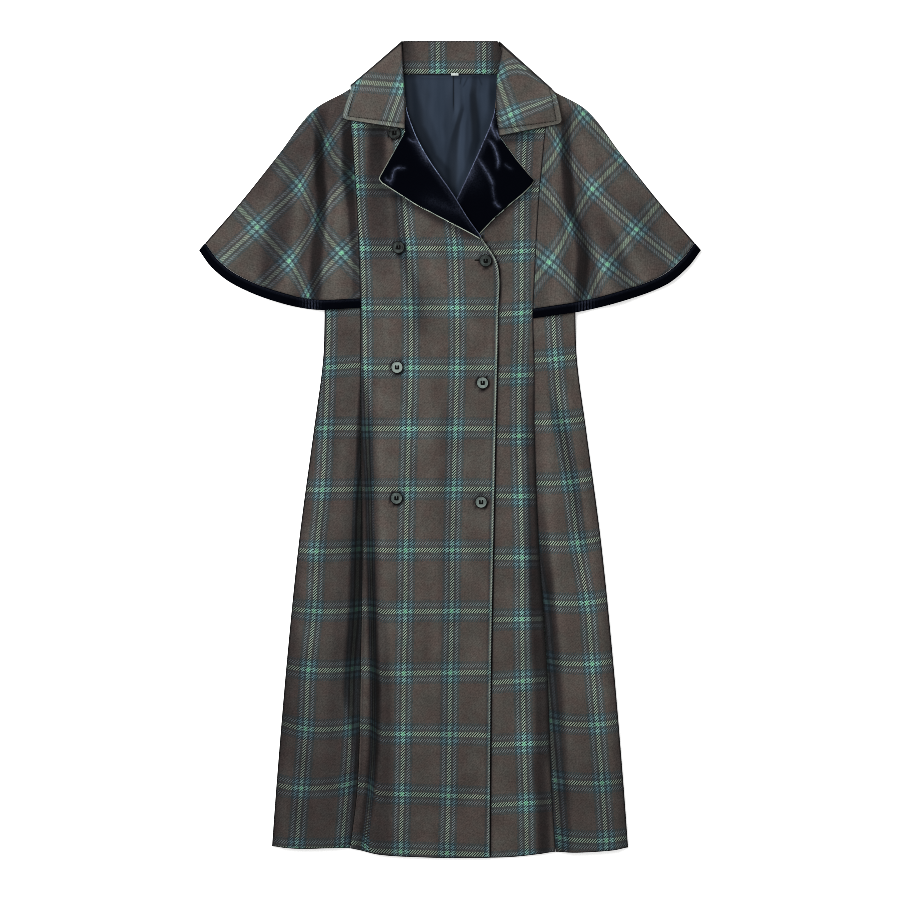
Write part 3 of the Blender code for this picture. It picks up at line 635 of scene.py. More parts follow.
leftFront = {
    "size": (0.195, 1.17), "flat": (0.22, 1.18), "area": 0.222, "step": (0.003, 0.006),
    "check": {"columns": ("y", "line", "tilt"), "rows": (
        (-601, 115.1, 0.06), (-530, 114, 0.065), (-443, 111, 0.04), (-346, 109.2, 0.07), (-241, 108, 0.02),
        (-163, 108, 0), (-71, 105.9, 0), (20, 103.5, 0), (112, 104.1, 0.03), (205, 107.1, 0.08),
        (301, 107.2, 0.05), (384, 108.3, 0), (480, 113.1, 0),
    )},
    "rows": {"columns": ("y", "row"), "rows": (
        (-705, 11), (-615, 10), (-530.3, 9), (-441.2, 8), (-346.5, 7), (-254.3, 6), (-161.9, 5), (-69.7, 4),
        (20.7, 3), (111.8, 2), (205, 1), (297.3, 0), (389.3, -1), (477.8, -2), (568, -3),
    )},
    "folds": ((80, 220, 82, -100, 0.8, 12), (124, 430, 118, 260, -1, 6)),
    "tones": ((115, 460, 118, 300, -0.1, 12),),
    # the margin beside the seam
    "shadows": (
        ((-613, 141, 10.5, 1.9), (-525.8, 139.5, 10.5, 1.8), (-480.8, 135, 12, 1.5), (-435.8, 139.5, 12, 1.4),
         (-345.8, 136.5, 11, 1.7), (-300.8, 133.5, 12, 1.8), (-210.8, 130.5, 12, 2.4),
         (-120.8, 124.5, 10.5, 1.7), (-30.8, 121.5, 9, 1.3), (14.3, 120, 9, 1.2), (104.3, 120, 7.5, 0.4),
         (164, 120, 7.5, 0)),
    ),
    "cast": ((74, 462, 129, 476, 1.5, 9), (127, 396.5, 48, 327.5, 1.6, 6)),
}
overlap = {"far": 0.0850, "near": 0.0200, "lapelY": (0.2250, 0.2900), "lip": 0.0090,
           "closingY": (0.312, 0.330)}
hollowDepth = 0.0090  # how far down a hollow lies where it is quite dark
# folds beside the two seams: where they rise and fall, and how wide the seam's lip is
foldShapes = {
    "right": {"ridge": 0.80, "ridgeAt": 0.0085, "ridgeSpread": 0.0068, "panel": 0.90,
              "rises": (0.0165, 0.0330), "falls": (0.0400, 0.1150), "lip": 0.0060, "pullFrom": (0.010, 0.030)},
    "left": {"falls": (0.014, 0.070), "lip": 0.0055, "pullFrom": (0.0, 0.020)},
}


def frontUnderside(x, y, fromSeam, fold, lip):
    level = curve(levels, "body", y) + curve(levels, "ridge", y) * fold
    level = np.maximum(level, backUnderside(x, y) + layer)
    return blend(curve(levels, "seam", y), level, ease(fromSeam / lip))


def leftUnderside(x, y):  # stays full right up to its seam, then drops to the side panel
    fromSeam = curve(bodyCut, "leftSeam", y) - x
    shape = foldShapes["left"]
    pull = mm * foldLines(leftFront["folds"], x, y) * ramp(fromSeam, *shape["pullFrom"])
    return frontUnderside(x, y, fromSeam, 1.0 - ramp(fromSeam, *shape["falls"]), shape["lip"]) + pull


def rightUnderside(x, y):  # a narrow ridge by the seam, a crease, then the panel rises again
    fromSeam = x - curve(bodyCut, "rightSeam", y)
    shape = foldShapes["right"]
    ridge = shape["ridge"] * hump(fromSeam - shape["ridgeAt"], shape["ridgeSpread"])
    fold = ridge + shape["panel"] * ramp(fromSeam, *shape["rises"]) * (1.0 - ramp(fromSeam, *shape["falls"]))
    edge = curve(bodyCut, "leftEdge", y)
    over = ramp(x, edge - overlap["far"], edge - overlap["near"]) * ease(fromSeam / overlap["lip"])
    z = frontUnderside(x, y, fromSeam, fold, shape["lip"]) + (layer + cloth["slack"]) * over
    z = z + overLapel * over * ramp(y, *overlap["lapelY"])
    pull = mm * foldLines(rightFront["folds"], x, y) * ramp(fromSeam, *shape["pullFrom"])
    return z + pull * (0.35 + 0.65 * over)


undersides = {"right": rightUnderside, "left": leftUnderside}


# painted shade: cloth in a hollow is darkened by how deep it lies
def hollowShade(height, x, y, reach):  # darker where the cloth lies below what is round it
    spots = ((1, 0), (-1, 0), (0.7, 0.7), (-0.7, -0.7), (0.7, -0.7), (-0.7, 0.7))
    around = sum(height(x + dx * reach, y + dy * reach) for dx, dy in spots) / len(spots)
    return np.clip(1.0 - (around - height(x, y)) / hollowDepth, 0.3, 1.2)


def hollowLines(shade):  # deep in a hollow the ribs blur and the stripes show as whole lines
    return 0.9 * ramp(0.5 - shade, 0.0, 0.3)


def checkRow(table, y):
    return -plaid["repeatDown"] * curve(table, "row", y)


def edgeShade(seamAway, endAway):  # dark lines along the seam and the outer edge of a side panel or cape
    return (1.0 - seamDark * hump(seamAway, 0.0012)) * edgeShadeLine("outer", endAway)


def buttonShadow(x, y):  # dark ring where each button stands on the cloth
    ring = np.zeros_like(x)
    for spotX, spotY, pale in buttons["spots"]:
        fromRim = np.hypot(x - spotX, y - spotY) - buttons["diameter"] / 2 - 0.0004
        ring = np.maximum(ring, hump(fromRim, 0.0015))
    return 1.0 - 0.95 * ring


def layFront(word, panel):
    seamName, edgeName, underside = word + "Seam", word + "Edge", undersides[word]
    check = panel["check"]

    def lay(across, up):
        fromSeam = across if word == "right" else 1.0 - across
        hemX, topX = (blend(curve(bodyCut, seamName, end), curve(bodyCut, edgeName, end), fromSeam)
                      for end in bodyEnds)
        bottom = curve(hemLine, "y", hemX)
        y = blend(bottom, shoulderLine(topX), up)
        seam, edge = curve(bodyCut, seamName, y), curve(bodyCut, edgeName, y)
        x = blend(seam, edge, fromSeam)
        seamAway, edgeAway = np.abs(x - seam), np.abs(edge - x)
        z = underside(x, y) + rolledEdge(edgeAway) + rolledEdge(y - bottom)
        z = z + rolledEdge(seamAway, 0.0012, 0.0020)
        # painted shade in hollows, fold shadows and cast shadows, and painted tone along the folds of the tones
        # table, lighter on the right front and darker on the left
        shade = hollowShade(underside, x, y, 0.012) * (1.0 + foldLines(panel["tones"], x, y))
        shade = shade * foldShade(panel["shadows"], x, y) * 2.0 ** -foldLines(panel["cast"], x, y)
        seamLine = seamDark * hump(seamAway, 0.0013)
        closing = 1.0 - ramp(y, *overlap["closingY"])
        ribU = x - curve(check, "line", y)
        if word == "right":
            fromLine = x - curve(panel["drawnIn"], "x", y)
            u = ribU - curve(check, "hidden", y) * np.clip(0.5 - fromLine / 0.024, 0.0, 1.0)
            lift = curve(check, "lift", y) * (1.0 - ramp(seamAway, 0.010, 0.036))
            # lower down, a painted highlight on the seam's lip takes the place of the dark seam line
            lower = ramp(-y, 0.16, 0.24)
            lit = 0.7 * lower * (1.0 - ramp(-y, 0.46, 0.54))
            shade = shade * (1.0 - seamLine * (1.0 - lower) + lit * hump(seamAway - 0.0010, 0.0010))
            # painted shade in dark lines at the closing edge and 5.6 mm in, and a painted highlight along the fold
            # just inside the edge
            edgeShadeLines = 0.40 * hump(edgeAway, 0.0006) + 0.32 * hump(edgeAway - 0.0056, 0.0012)
            shade = shade * (1.0 - closing * edgeShadeLines) * buttonShadow(x, y)
            edgeHighlight = 0.80 * hump(edgeAway - 0.0016, 0.0012) * closing * (1.0 - 0.5 * ramp(-y, 0.20, 0.40))
        else:
            u, lift, edgeHighlight = ribU, 0.0, 0.0
            beyond = x - curve(bodyCut, "rightEdge", y)  # shadow line under the closing edge
            shadow = 0.92 * outline(np.abs(beyond), 0.0024) + 0.40 * hump(beyond, 0.0042)
            shade = shade * (1.0 - seamLine) * np.clip(1.0 - shadow * closing, 0.0, 1.0)
        v = checkRow(panel["rows"], y - lift - curve(check, "tilt", y) * ribU)
        shade = shade * edgeShadeLine("hem", y - bottom)
        return {"x": x, "y": y, "z": z, "u": u, "v": v, "ribU": ribU, "shade": np.clip(shade, 0.03, 1.5),
                "edge": edgeHighlight, "soft": hollowLines(shade)}

    return lay


for word, panel in (("right", rightFront), ("left", leftFront)):
    acrossShares, upShares = grid(panel)
    if word == "left":  # finer under the closing edge, for its shadow line
        acrossShares = mergeShares(acrossShares, np.linspace(0.54, 0.72, 46))
    addSheet("front_" + word, acrossShares, upShares, layFront(word, panel), cloth["coating"],
             "plaid_coating",
             panel["flat"], panel["area"], ["back"])
print("centre fronts laid")

# side fronts, from the centre-front seam to the side seam
sideFronts = {
    "size": (0.085, 1.03), "flat": (0.118, 1.035), "area": 0.086, "step": (0.003, 0.006), "puff": 0.0062,
    "round": 0.022, "puffFrom": 0.15, "puffTo": -0.08,
    "right": {
        "valley": 0.03,
        "check": {"columns": ("y", "line", "hidden", "tilt", "bow"), "rows": (
            (-596, -230.1, 2.5, -0.021, 0.4), (-506, -222.8, 2.5, -0.039, 1.7),
            (-418, -216.2, 4, -0.116, 2.3), (-332, -212.4, 5.6, -0.079, 1.4),
            (-239, -203.4, 7.1, -0.049, 1.3), (-152, -199.5, 8.3, -0.011, 0.9), (-61, -191.3, 12, 0.005, 0.3),
            (30, -186.8, 3, 0.016, -0.1), (124, -183.6, 0, 0.079, -0.2), (179, -181.9, 0, 0.079, -0.2),
        )},
        "rows": {"columns": ("y", "row"), "rows": (
            (-688, 9), (-597.9, 8), (-507.2, 7), (-418, 6), (-329.6, 5), (-241.9, 4), (-152.2, 3), (-60.3, 2),
            (32.1, 1), (123, 0), (213.5, -1), (400, -3.05),
        )},
        "tones": ((-215, -320, -235, -610, -0.15, 35), (-173, 170, -185, -80, -0.1, 15)),
        "dim": (0.22, 0.38),
        # the deep hollow beside the seam, the slope down into it, and the outer edge
        "shadows": (
            ((-593.3, -151.5, 4, 0.5), (-542.3, -145.5, 4, 0.9), (-495.8, -141.8, 4.5, 1.3),
             (-450.8, -140.6, 5, 1.6), (-405.8, -144, 8, 1.9), (-360.8, -147.5, 12, 2.3),
             (-305.3, -144.8, 12.5, 2.9), (-242.3, -141.2, 10, 3.1), (-177.8, -139.6, 9.2, 3.1),
             (-93.8, -137.4, 7, 3.1), (-30.8, -135.8, 5.4, 2.9), (29.3, -136, 4, 2.3), (74.3, -135, 3, 1.2),
             (104.3, -135, 3, 0)),
            ((-550, -176, 20, 0.2), (-450, -170, 20, 0.35), (-360.8, -164, 19, 0.7), (-242.3, -156, 16, 0.5),
             (-93.8, -150, 13, 0.35), (30, -145, 10, 0)),
            ((-495, -252, 15, 0), (-405.8, -243, 18, 0.7), (-345.8, -240, 18, 0.7), (-285.8, -235.5, 18, 0.5),
             (-195.8, -228, 15, 0.25), (-135.8, -225, 12, 0)),
        ),
    },
    "left": {
        "valley": 0.023,
        "check": {"columns": ("y", "line", "tilt", "bow"), "rows": (
            (-587, 234, 0.06, 1.6), (-502, 228, 0.04, 1.2), (-412, 220.5, 0.062, 1.9),
            (-322, 213, 0.054, 1.7), (-231, 205.5, 0.088, 1.7), (-142, 191.4, 0.097, 1.8),
            (-50, 180, 0.104, 1.3), (41, 167, 0.08, 1.1), (137, 158.4, 0.092, 0.6), (230, 153, 0.092, 0.6),
        )},
        "rows": {"columns": ("y", "row"), "rows": (
            (-675, 9), (-585.6, 8), (-499.3, 7), (-411.7, 6), (-320.8, 5), (-229.6, 4), (-139.3, 3),
            (-48.5, 2), (42.1, 1), (136, 0), (226.5, -1), (400, -2.9),
        )},
        "tones": ((245, -50, 270, -610, -0.15, 20),),
        "dim": (-0.08, 0.43),
        # the hollow beside the seam, and a slack fold towards the side
        "shadows": (
            ((-605, 172, 10.5, 0.8), (-525.8, 169.5, 10.5, 1.4), (-480.8, 165, 10.5, 1.5),
             (-435.8, 162, 12, 1.6), (-300.8, 153, 12, 2), (-210.8, 145.5, 10.5, 2.3),
             (-135.8, 139.5, 9, 0.9), (-68.3, 135, 6, 0)),
            ((-165, 204, 9, 0), (-135.8, 198, 9, 0.4), (-75.8, 189, 9, 0.9), (-30.8, 180, 10.5, 1),
             (14.3, 171, 10.5, 1), (59.3, 159, 9, 0.8), (104.3, 147, 7.5, 0)),
        ),
    },
}


def laySide(word):
    side, panel, seamName = toward[word], sideFronts[word], word + "Seam"
    check = panel["check"]

    def height(x, y):
        fromSeam = np.maximum(side * (x - curve(bodyCut, seamName, y)), 0.0)
        fromSide = np.maximum(curve(bodyCut, "side", y) - side * x, 0.0)
        below = ramp(y, sideFronts["puffFrom"], sideFronts["puffTo"])
        puff = sideFronts["puff"] * below * ease(fromSeam / panel["valley"])
        puff = puff * ease(fromSide / sideFronts["round"])
        return backTop(x, y) + cloth["gap"] + cloth["slack"] + puff

    def lay(across, up):
        fromSeam = 1.0 - across if word == "right" else across
        bottom = curve(hemLine, "y", blend(curve(bodyCut, seamName, bodyEnds[0]), side * hemHalf, fromSeam))
        y = blend(bottom, shoulder["sideTop"], up)
        seam, end = curve(bodyCut, seamName, y) + side * cloth["gap"], side * curve(bodyCut, "side", y)
        x = blend(seam, end, fromSeam)
        seamAway, endAway = np.abs(x - seam), np.abs(end - x)
        z = height(x, y) + rolledEdge(endAway, 0.0012, 0.0030) + rolledEdge(y - bottom)
        z = z + rolledEdge(seamAway, 0.0010, 0.0020)
        u = ribU = x - curve(check, "line", y)
        level = y - curve(check, "tilt", y) * ribU - curve(check, "bow", y) * ribU ** 2
        if word == "right":
            u = ribU + curve(check, "hidden", y) * (1.0 - ramp(seamAway, 0.006, 0.026))
        # painted shade in hollows, along soft folds and in the fold shadows, then darker over the whole panel and
        # more so low down
        shade = hollowShade(height, x, y, 0.014) * (1.0 + foldLines(panel["tones"], x, y))
        shade = shade * foldShade(panel["shadows"], x, y)
        shade = shade * 2.0 ** -(panel["dim"][0] + panel["dim"][1] * ramp(-y, 0.36, 0.52))
        shade = shade * edgeShade(seamAway, endAway) * edgeShadeLine("hem", y - bottom)
        return {"x": x, "y": y, "z": z, "u": u, "v": checkRow(panel["rows"], level), "ribU": ribU,
                "shade": np.clip(shade, 0.02, 1.3), "soft": hollowLines(shade)}

    return lay


for word in toward:
    addSheet("side_front_" + word, *grid(sideFronts), laySide(word), cloth["coating"], "plaid_coating",
             sideFronts["flat"], sideFronts["area"], ["back"])
print("side fronts laid")

# cape sleeves: rings from the neck to the hem, the hem's sag, and the folds that fall from the shoulder
cape = {
    "size": (0.26, 0.32), "flat": (0.29, 0.33), "area": 0.056, "bindingFlat": (0.285, 0.017), "step": 0.0034,
    "top": 0.526,
    "hem": {"right": 0.2125, "left": 0.1965},
    "seamLevel": 0.0086, "edgeLevel": 0.0026, "bindingShare": 0.043, "bindingGap": 0.001,
    "bindingDrop": 0.0005, "bodyMargin": (0.007, 0.022), "softTwill": 0.6,
    "rings": {"columns": ("share", "edgeX", "edgeY", "sag"), "rows": (
        (0, 150, 540.2, 0), (0.15, 204.5, 509.5, 0.06), (0.4, 255, 445.5, 0.26), (0.7, 313, 372.5, 0.58),
        (1, 376.5, 299, 1),
    )},
    "sag": {"columns": ("across", "right", "left"), "rows": (
        (0, 0, 0), (0.25, 25.5, 16.5), (0.5, 34, 26.5), (0.75, 30.4, 28.3), (0.9, 17.5, 16), (1, 0, 0),
    )},
    # place across at neck and hem, rise in metres, spread
    "flutes": (
        (0.22, 0.14, 0.0042, 0.075), (0.46, 0.31, -0.0078, 0.05), (0.66, 0.47, 0.0066, 0.095),
        (0.86, 0.8, 0.0024, 0.11),
    ),
    # the turned check: a crossing, its turn and bend, cloth drawn into the deep fold, ribs per metre along x and y
    "check": {
        "right": {
            "spot": (0.19299, 0.45788), "turn": -133.85, "bend": (0.0021, -0.0378), "hidden": 0.0352,
            "foldAt": 0.0065, "foldHalf": 0.0317, "ribs": (100, 280),
            "valley": ((-228, -209), (232, -208.5), (352, -198), (427, -195), (479, -184.5)),
        },
        "left": {
            "spot": (0.23158, 0.50428), "turn": -137.95, "bend": (-0.1798, -0.2979), "hidden": 0.032,
            "foldAt": -0.001, "foldHalf": 0.0375, "ribs": (288, -20),
            "valley": ((-220, 202.5), (220, 202.5), (340, 183.9), (472, 169.5), (520, 165)),
        },
    },
    # the deep fold, the hollow beside the shoulder seam, then softer ones
    "shadows": {
        "right": (
            ((205, -202.5, 7.5, 1.2), (246.8, -201, 9, 2.6), (269.3, -201, 9, 2.7), (291.8, -199.5, 9, 2.5),
             (314.3, -197.3, 8.5, 2.3), (336.8, -194.3, 8.5, 2.5), (359.3, -192.8, 8.5, 2.5),
             (381.8, -192.8, 8, 2.6), (404.3, -195, 7.5, 2.6), (449.3, -196.5, 7.5, 2.6),
             (471.8, -196.5, 7, 2.1), (494.3, -193.5, 9, 1.2), (516.8, -189, 9, 0)),
            ((210, -140, 6, 0.6), (239.3, -140.3, 6, 0.9), (291.8, -141, 6, 1.3), (314.3, -144, 6.5, 1.7),
             (359.3, -147, 6.5, 1.8), (404.3, -152.3, 8.5, 2.2), (426.8, -153, 8.5, 2.5),
             (471.8, -153.8, 8.5, 2.4), (498, -154.5, 8.5, 1.4)),
            ((239.3, -273, 15, 0.8), (261.8, -267, 18, 1.4), (299.3, -261, 21, 1.4), (344.3, -253.5, 21, 0.9),
             (389.3, -247.5, 15, 0.3), (419.3, -240, 12, 0)),
        ),
        "left": (
            ((200, 192, 8, 1.2), (246.8, 196.5, 10, 2.9), (269.3, 198, 9.5, 2.8), (291.8, 199.5, 9, 2.6),
             (314.3, 195.8, 8.5, 2.4), (336.8, 189.8, 8, 2.4), (359.3, 180.8, 8, 2.7), (381.8, 178, 9, 2.5),
             (404.3, 176.5, 9, 2.35), (426.8, 174.5, 8.5, 2.25), (449.3, 173.5, 8, 2.3), (471.8, 173.3, 7, 2),
             (494.3, 175.5, 7, 1.3), (516.8, 177, 6, 0)),
            ((381.8, 133, 6, 0), (404.3, 133.5, 6, 0.6), (449.3, 135, 6, 0.8), (491.3, 136.5, 7, 1)),
            ((246.8, 292.5, 9, -0.4), (284.3, 276, 9, -0.5), (329.3, 253.5, 9, -0.55), (374.3, 231, 9, -0.5),
             (426.8, 213, 9, -0.45), (479.3, 199.5, 9, -0.4), (501.8, 195, 9, 0)),
            ((239.3, 258, 15, 0.6), (276.8, 249, 16.5, 0.9), (314.3, 235.5, 15, 0.8), (351.8, 219, 12, 0.5),
             (381.8, 210, 10.5, 0)),
            ((250, 325, 12, 0.2), (284.3, 312, 15, 0.5), (329.3, 297, 18, 0.7), (366.8, 279, 15, 0.5),
             (396.8, 267, 12, 0)),
        ),
    },
    "dim": {"right": 0.6, "left": 0.1},
    # painted shade of a faint crease above the hem: from, to, depth in stops, spread
    "crease": {
        "right": (),
        "left": ((269, 240, 328, 266, 0.5, 1.6),),
    },
    "bindingCrown": 0.0007, "bandRise": (0.78, 0.92), "slopeTo": 0.5, "ends": (0.08, 0.15), "flutesTo": 0.55,
    "pleat": {"right": -0.2085, "left": 0.2025, "spread": 0.01, "pitch": 0.0046, "rise": 0.0005, "glint": 0.3},
}


def capePlace(word, across, share):
    seamY = blend(cape["top"], cape["hem"][word], share)
    startX = np.abs(curve(bodyCut, word + "Seam", seamY)) + cloth["gap"]
    runX = curve(cape["rings"], "edgeX", share) - startX
    runY = curve(cape["rings"], "edgeY", share) - seamY
    length = np.hypot(runX, runY)
    sag = curve(cape["rings"], "sag", share) * curve(cape["sag"], word, across)
    x = startX + runX * across + sag * runY / length
    y = seamY + runY * across - sag * runX / length
    return toward[word] * x, y


def capeUnderside(word, across, share):
    x, y = capePlace(word, across, share)
    lowest = blend(cape["edgeLevel"], overBinding + cape["bindingDrop"], ramp(share, *cape["bandRise"]))
    level = blend(cape["seamLevel"], lowest, ease(across / cape["slopeTo"]))
    ends = ease(across / cape["ends"][0]) * ease((1.0 - across) / cape["ends"][1])
    for neck, hem, rise, spread in cape["flutes"]:
        flute = hump(across - blend(neck, hem, share), spread)
        level = level + rise * flute * ease(share / cape["flutesTo"]) * ends
    beside = np.abs(x) - curve(bodyCut, "side", y)
    return np.maximum(level, blend(lowest, cape["seamLevel"], 1.0 - ramp(beside, *cape["bodyMargin"])))


def capeCheck(word, x, y, hiddenShare):
    check, side = cape["check"][word], toward[word]
    valleyY, valleyX = mm * np.array(check["valley"]).T
    fromFold = side * (x - np.interp(y, valleyY, valleyX)) - check["foldAt"]
    pastFold = ease(0.5 + 0.5 * fromFold / check["foldHalf"])
    out = side * x + hiddenShare * check["hidden"] * pastFold
    z = (out - check["spot"][0]) + 1j * (check["spot"][1] - y)
    turned = z * np.exp(1j * math.radians(check["turn"])) + complex(*check["bend"]) * z * z
    return turned.real, -turned.imag * side  # the twill runs the same way up on both sides


# painted shade in the cape's hollows and fold shadows, along its crease, and darker higher up
def capeShade(word, across, share):
    steps = (-0.075, -0.04, 0.04, 0.075)
    around = sum(capeUnderside(word, np.clip(across + step, 0, 1), share) for step in steps) / len(steps)
    hollow = np.clip(1.0 - (around - capeUnderside(word, across, share)) / hollowDepth, 0.45, 1.2)
    x, y = capePlace(word, across, share)
    stops = foldLines(cape["crease"][word], x, y) + cape["dim"][word] * ramp(y, 0.33, 0.43)
    return hollow * foldShade(cape["shadows"][word], x, y) * 2.0 ** -stops


def layCapeFront(word, fromShare, toShare, drop):
    ribs = cape["check"][word]["ribs"]

    def lay(across, up):
        across = across if word == "left" else 1.0 - across
        share = blend(fromShare, toShare, up)
        x, y = capePlace(word, across, share)
        u, v = capeCheck(word, x, y, 1.0)
        fromSeam, fromEdge = across * cape["size"][0], (1.0 - across) * cape["size"][0]
        shade = capeShade(word, across, share) * edgeShade(fromSeam, fromEdge)
        z = capeUnderside(word, across, share) - drop + rolledEdge(fromEdge) + rolledEdge(fromSeam)
        return {"x": x, "y": y, "z": z, "u": u, "v": v, "ribU": x * ribs[0] * plaid["ribAcross"],
                "ribV": -y * ribs[1] * plaid["ribDown"], "shade": np.clip(shade, 0.05, 1.3),
                "soft": cape["softTwill"]}

    return lay


def layCapeBack(word, fromShare, toShare):
    def lay(across, up):
        across = across if word == "left" else 1.0 - across
        x, y = capePlace(word, across, blend(fromShare, toShare, up))
        u, v = capeCheck(word, x, y, 0.0)
        return {"x": x, "y": y, "z": 0.0, "u": u, "v": v}

    return lay


def layBinding(word, fromShare, toShare):
    layUnder, pleat = layCapeFront(word, fromShare, toShare, cape["bindingDrop"]), cape["pleat"]

    def lay(across, up):
        laid = layUnder(across, up)
        # painted highlights on the pleat crests and along the top of the binding
        crown = cape["bindingCrown"] * np.sin(math.pi * np.clip(up, 0, 1))
        waves = np.cos(2 * math.pi * laid["x"] / pleat["pitch"])
        pleats = hump(laid["x"] - pleat[word], pleat["spread"]) * waves
        laid["z"] = laid["z"] + crown + pleat["rise"] * pleats
        laid["glint"] = np.clip(pleat["glint"] * pleats, 0, 1) + 0.05 * hump(up - 0.85, 0.10)
        return laid

    return lay


bandStart = 1.0 - cape["bindingShare"]
clothEnd = bandStart - cape["bindingGap"]
capeWidth, capeLength = cape["size"]
bandShares = np.linspace(0.0, 1.0, 9)
for word in toward:
    addSheet("cape_front_" + word, stations(capeWidth, cape["step"]),
             stations(capeLength, cape["step"], False), layCapeFront(word, clothEnd, 0.0, 0.0),
             cloth["coating"], "plaid_coating", cape["flat"], cape["area"],
             ["cape_back_" + word, "back"])
    addSheet("cape_back_" + word, stations(capeWidth, 0.0100), stations(capeLength, 0.0100, False),
             layCapeBack(word, clothEnd, 0.0), cloth["coating"], "plaid_coating", cape["flat"], cape["area"])
    addSheet("binding_front_" + word, stations(capeWidth, 0.0012), bandShares,
             layBinding(word, 1.0, bandStart),
             cloth["binding"], "velvet", cape["bindingFlat"], None, ["binding_back_" + word])
    addSheet("binding_back_" + word, stations(capeWidth, 0.0060), bandShares,
             layCapeBack(word, 1.0, bandStart),
             cloth["binding"], "velvet", cape["bindingFlat"])
print("cape sleeves and their bindings laid")

# lapels: the turned-back front and its velvet facing
lapels = {
    "width": 0.07, "edgeStep": 0.012, "rollAt": 0.006, "lowFrom": (0.58, 0.74), "inset": 0.0015,
    "flat": (0.115, 0.185), "area": 0.0112, "rollRise": 0.0022, "rollSpread": 0.013,
    # from the neck down: where the roll line is, the free edge, and how pale that edge shows
    "right": {"columns": ("rollY", "edgeX", "edgeY", "rim"), "rows": (
        (512, -67.2, 510, 0), (484, -69, 474.5, 0.3), (470, -90, 436.5, 0.5), (458, -105.5, 409, 0.6),
        (450, -106.6, 404.5, 0.8), (445, -102.5, 399, 0.9), (425, -80, 384.5, 0.9), (400, -50.5, 365.2, 1),
        (360, -1, 339, 1), (335, 31, 322, 1), (318, 44, 314.5, 0.9),
    )},
    "left": {"columns": ("rollY", "edgeX", "edgeY", "rim"), "rows": (
        (512, 69, 510, 0), (484, 75, 469, 0.4), (472, 100, 434.5, 0.5), (462, 120, 410.5, 0.4),
        (452, 127.2, 403.5, 0.1), (445, 122.5, 395.5, 0.6), (425, 109, 382, 0.9), (405, 90.5, 367, 1),
        (370, 65.5, 344.5, 1), (340, 45, 323, 1), (316, 18, 299.5, 1),
    )},
    # how strong the painted highlight on the roll line is, high up and low down
    "rollGlint": {"right": (1.45, 0.75), "left": (0.95, 0.65)},
    # creases in the velvet, each a slight rise with a painted highlight: strength, spread, then the points they
    # pass
    "creases": {
        "right": (
            (0.58, 1, (-91, 400), (-86.8, 404), (-85.5, 411), (-82.5, 418.5), (-76.5, 421.2), (-67, 420.8)),
            (0.4, 1, (-96.5, 407.5), (-94.5, 402.5), (-90.5, 402), (-88.5, 396.5)),
            (0.4, 0.8, (-63, 465.5), (-57, 461), (-51, 460)),
            (0.4, 2.2, (-52, 464), (-46.5, 456), (-40, 444), (-32.5, 429)),
            (0.05, 6, (-37.6, 375), (-6, 362.5), (21, 353)),
        ),
        "left": (
            (0.85, 1, (56, 464), (64, 456.5), (69, 445), (72, 431.8), (71.2, 420.5)),
            (0.7, 1.1, (40.5, 437), (51.9, 420.3), (61, 404), (64, 396)),
            (0.28, 1, (63.5, 396), (64.5, 386), (66.8, 374)), (0.6, 1, (67.2, 371.5), (69, 367), (75, 362)),
            (0.85, 1.1, (60.5, 492.5), (63.2, 480), (70.5, 463.9)),
            (0.7, 1, (69, 478), (71.5, 472), (75, 465)), (0.2, 1, (81.7, 427.2), (87, 423), (93.2, 419.2)),
            (0.16, 6, (34, 420), (28, 405)),
        ),
    },
}


def layLapel(word, faced):
    table, side = lapels[word], toward[word]
    lift = cloth["lapel"] + cloth["gap"] + cloth["slack"] if faced else 0.0
    inset, creaseRise = (lapels["inset"], 0.0006) if faced else (0.0, 0.0)

    def edgePoint(share):
        return straight(table, "edgeX", share), straight(table, "edgeY", share)

    def lay(across, up):
        share = 1.0 - up
        fromRoll = 1.0 - across if word == "right" else across
        rollY = straight(table, "rollY", share)
        rollX = curve(bodyCut, word + "Edge", rollY)
        edgeX, edgeY = edgePoint(share)
        step = lapels["edgeStep"]
        (aboveX, aboveY), (belowX, belowY) = edgePoint(share - step), edgePoint(share + step)
        along = np.hypot(belowX - aboveX, belowY - aboveY)
        drawIn = np.minimum(inset, 0.4 * np.hypot(edgeX - rollX, edgeY - rollY))
        edgeX = edgeX + side * drawIn * (belowY - aboveY) / along  # square to the edge, towards the roll
        edgeY = edgeY - side * drawIn * (belowX - aboveX) / along
        width = np.hypot(edgeX - rollX, edgeY - rollY)
        x, y, away = blend(rollX, edgeX, fromRoll), blend(rollY, edgeY, fromRoll), fromRoll * width
        slack = cloth["slack"] * blend(1.5, 2.6, ease(fromRoll / 0.25))
        rollShape = ease(away / 0.004) * hump(away - lapels["rollAt"], lapels["rollSpread"])
        rollShape = rollShape * ease(width / 0.02)
        creases = sum(strength * (0.70 * streak(points, spread, x, y)
                                  + 0.22 * streak(points, 3.2 * spread, x, y))
                      for strength, spread, *points in lapels["creases"][word])
        z = undersides[word](x, y) + cloth["coating"] + cloth["gap"] + slack + lift
        z = z + lapels["rollRise"] * rollShape + creaseRise * creases
        # painted highlight along the roll line and on the creases, and a faint broad one beside the roll
        turned = blend(*lapels["rollGlint"][word], ramp(share, *lapels["lowFrom"]))
        glint = np.clip(creases, 0, 1) + turned * hump(away - 0.0008, 0.0009)
        glint = glint + 0.05 * hump(away - 0.004, 0.004)
        # painted light and shade along the free edge: pale and lighter where the rim column is high, darker where
        # it is low
        rim = straight(table, "rim", share)
        return {"x": x, "y": y, "z": z + rolledEdge(width - away, 0.0006, 0.0016),
                "glint": glint, "edge": 0.7 * rim,
                "shade": 0.55 + 0.80 * rim}

    return lay


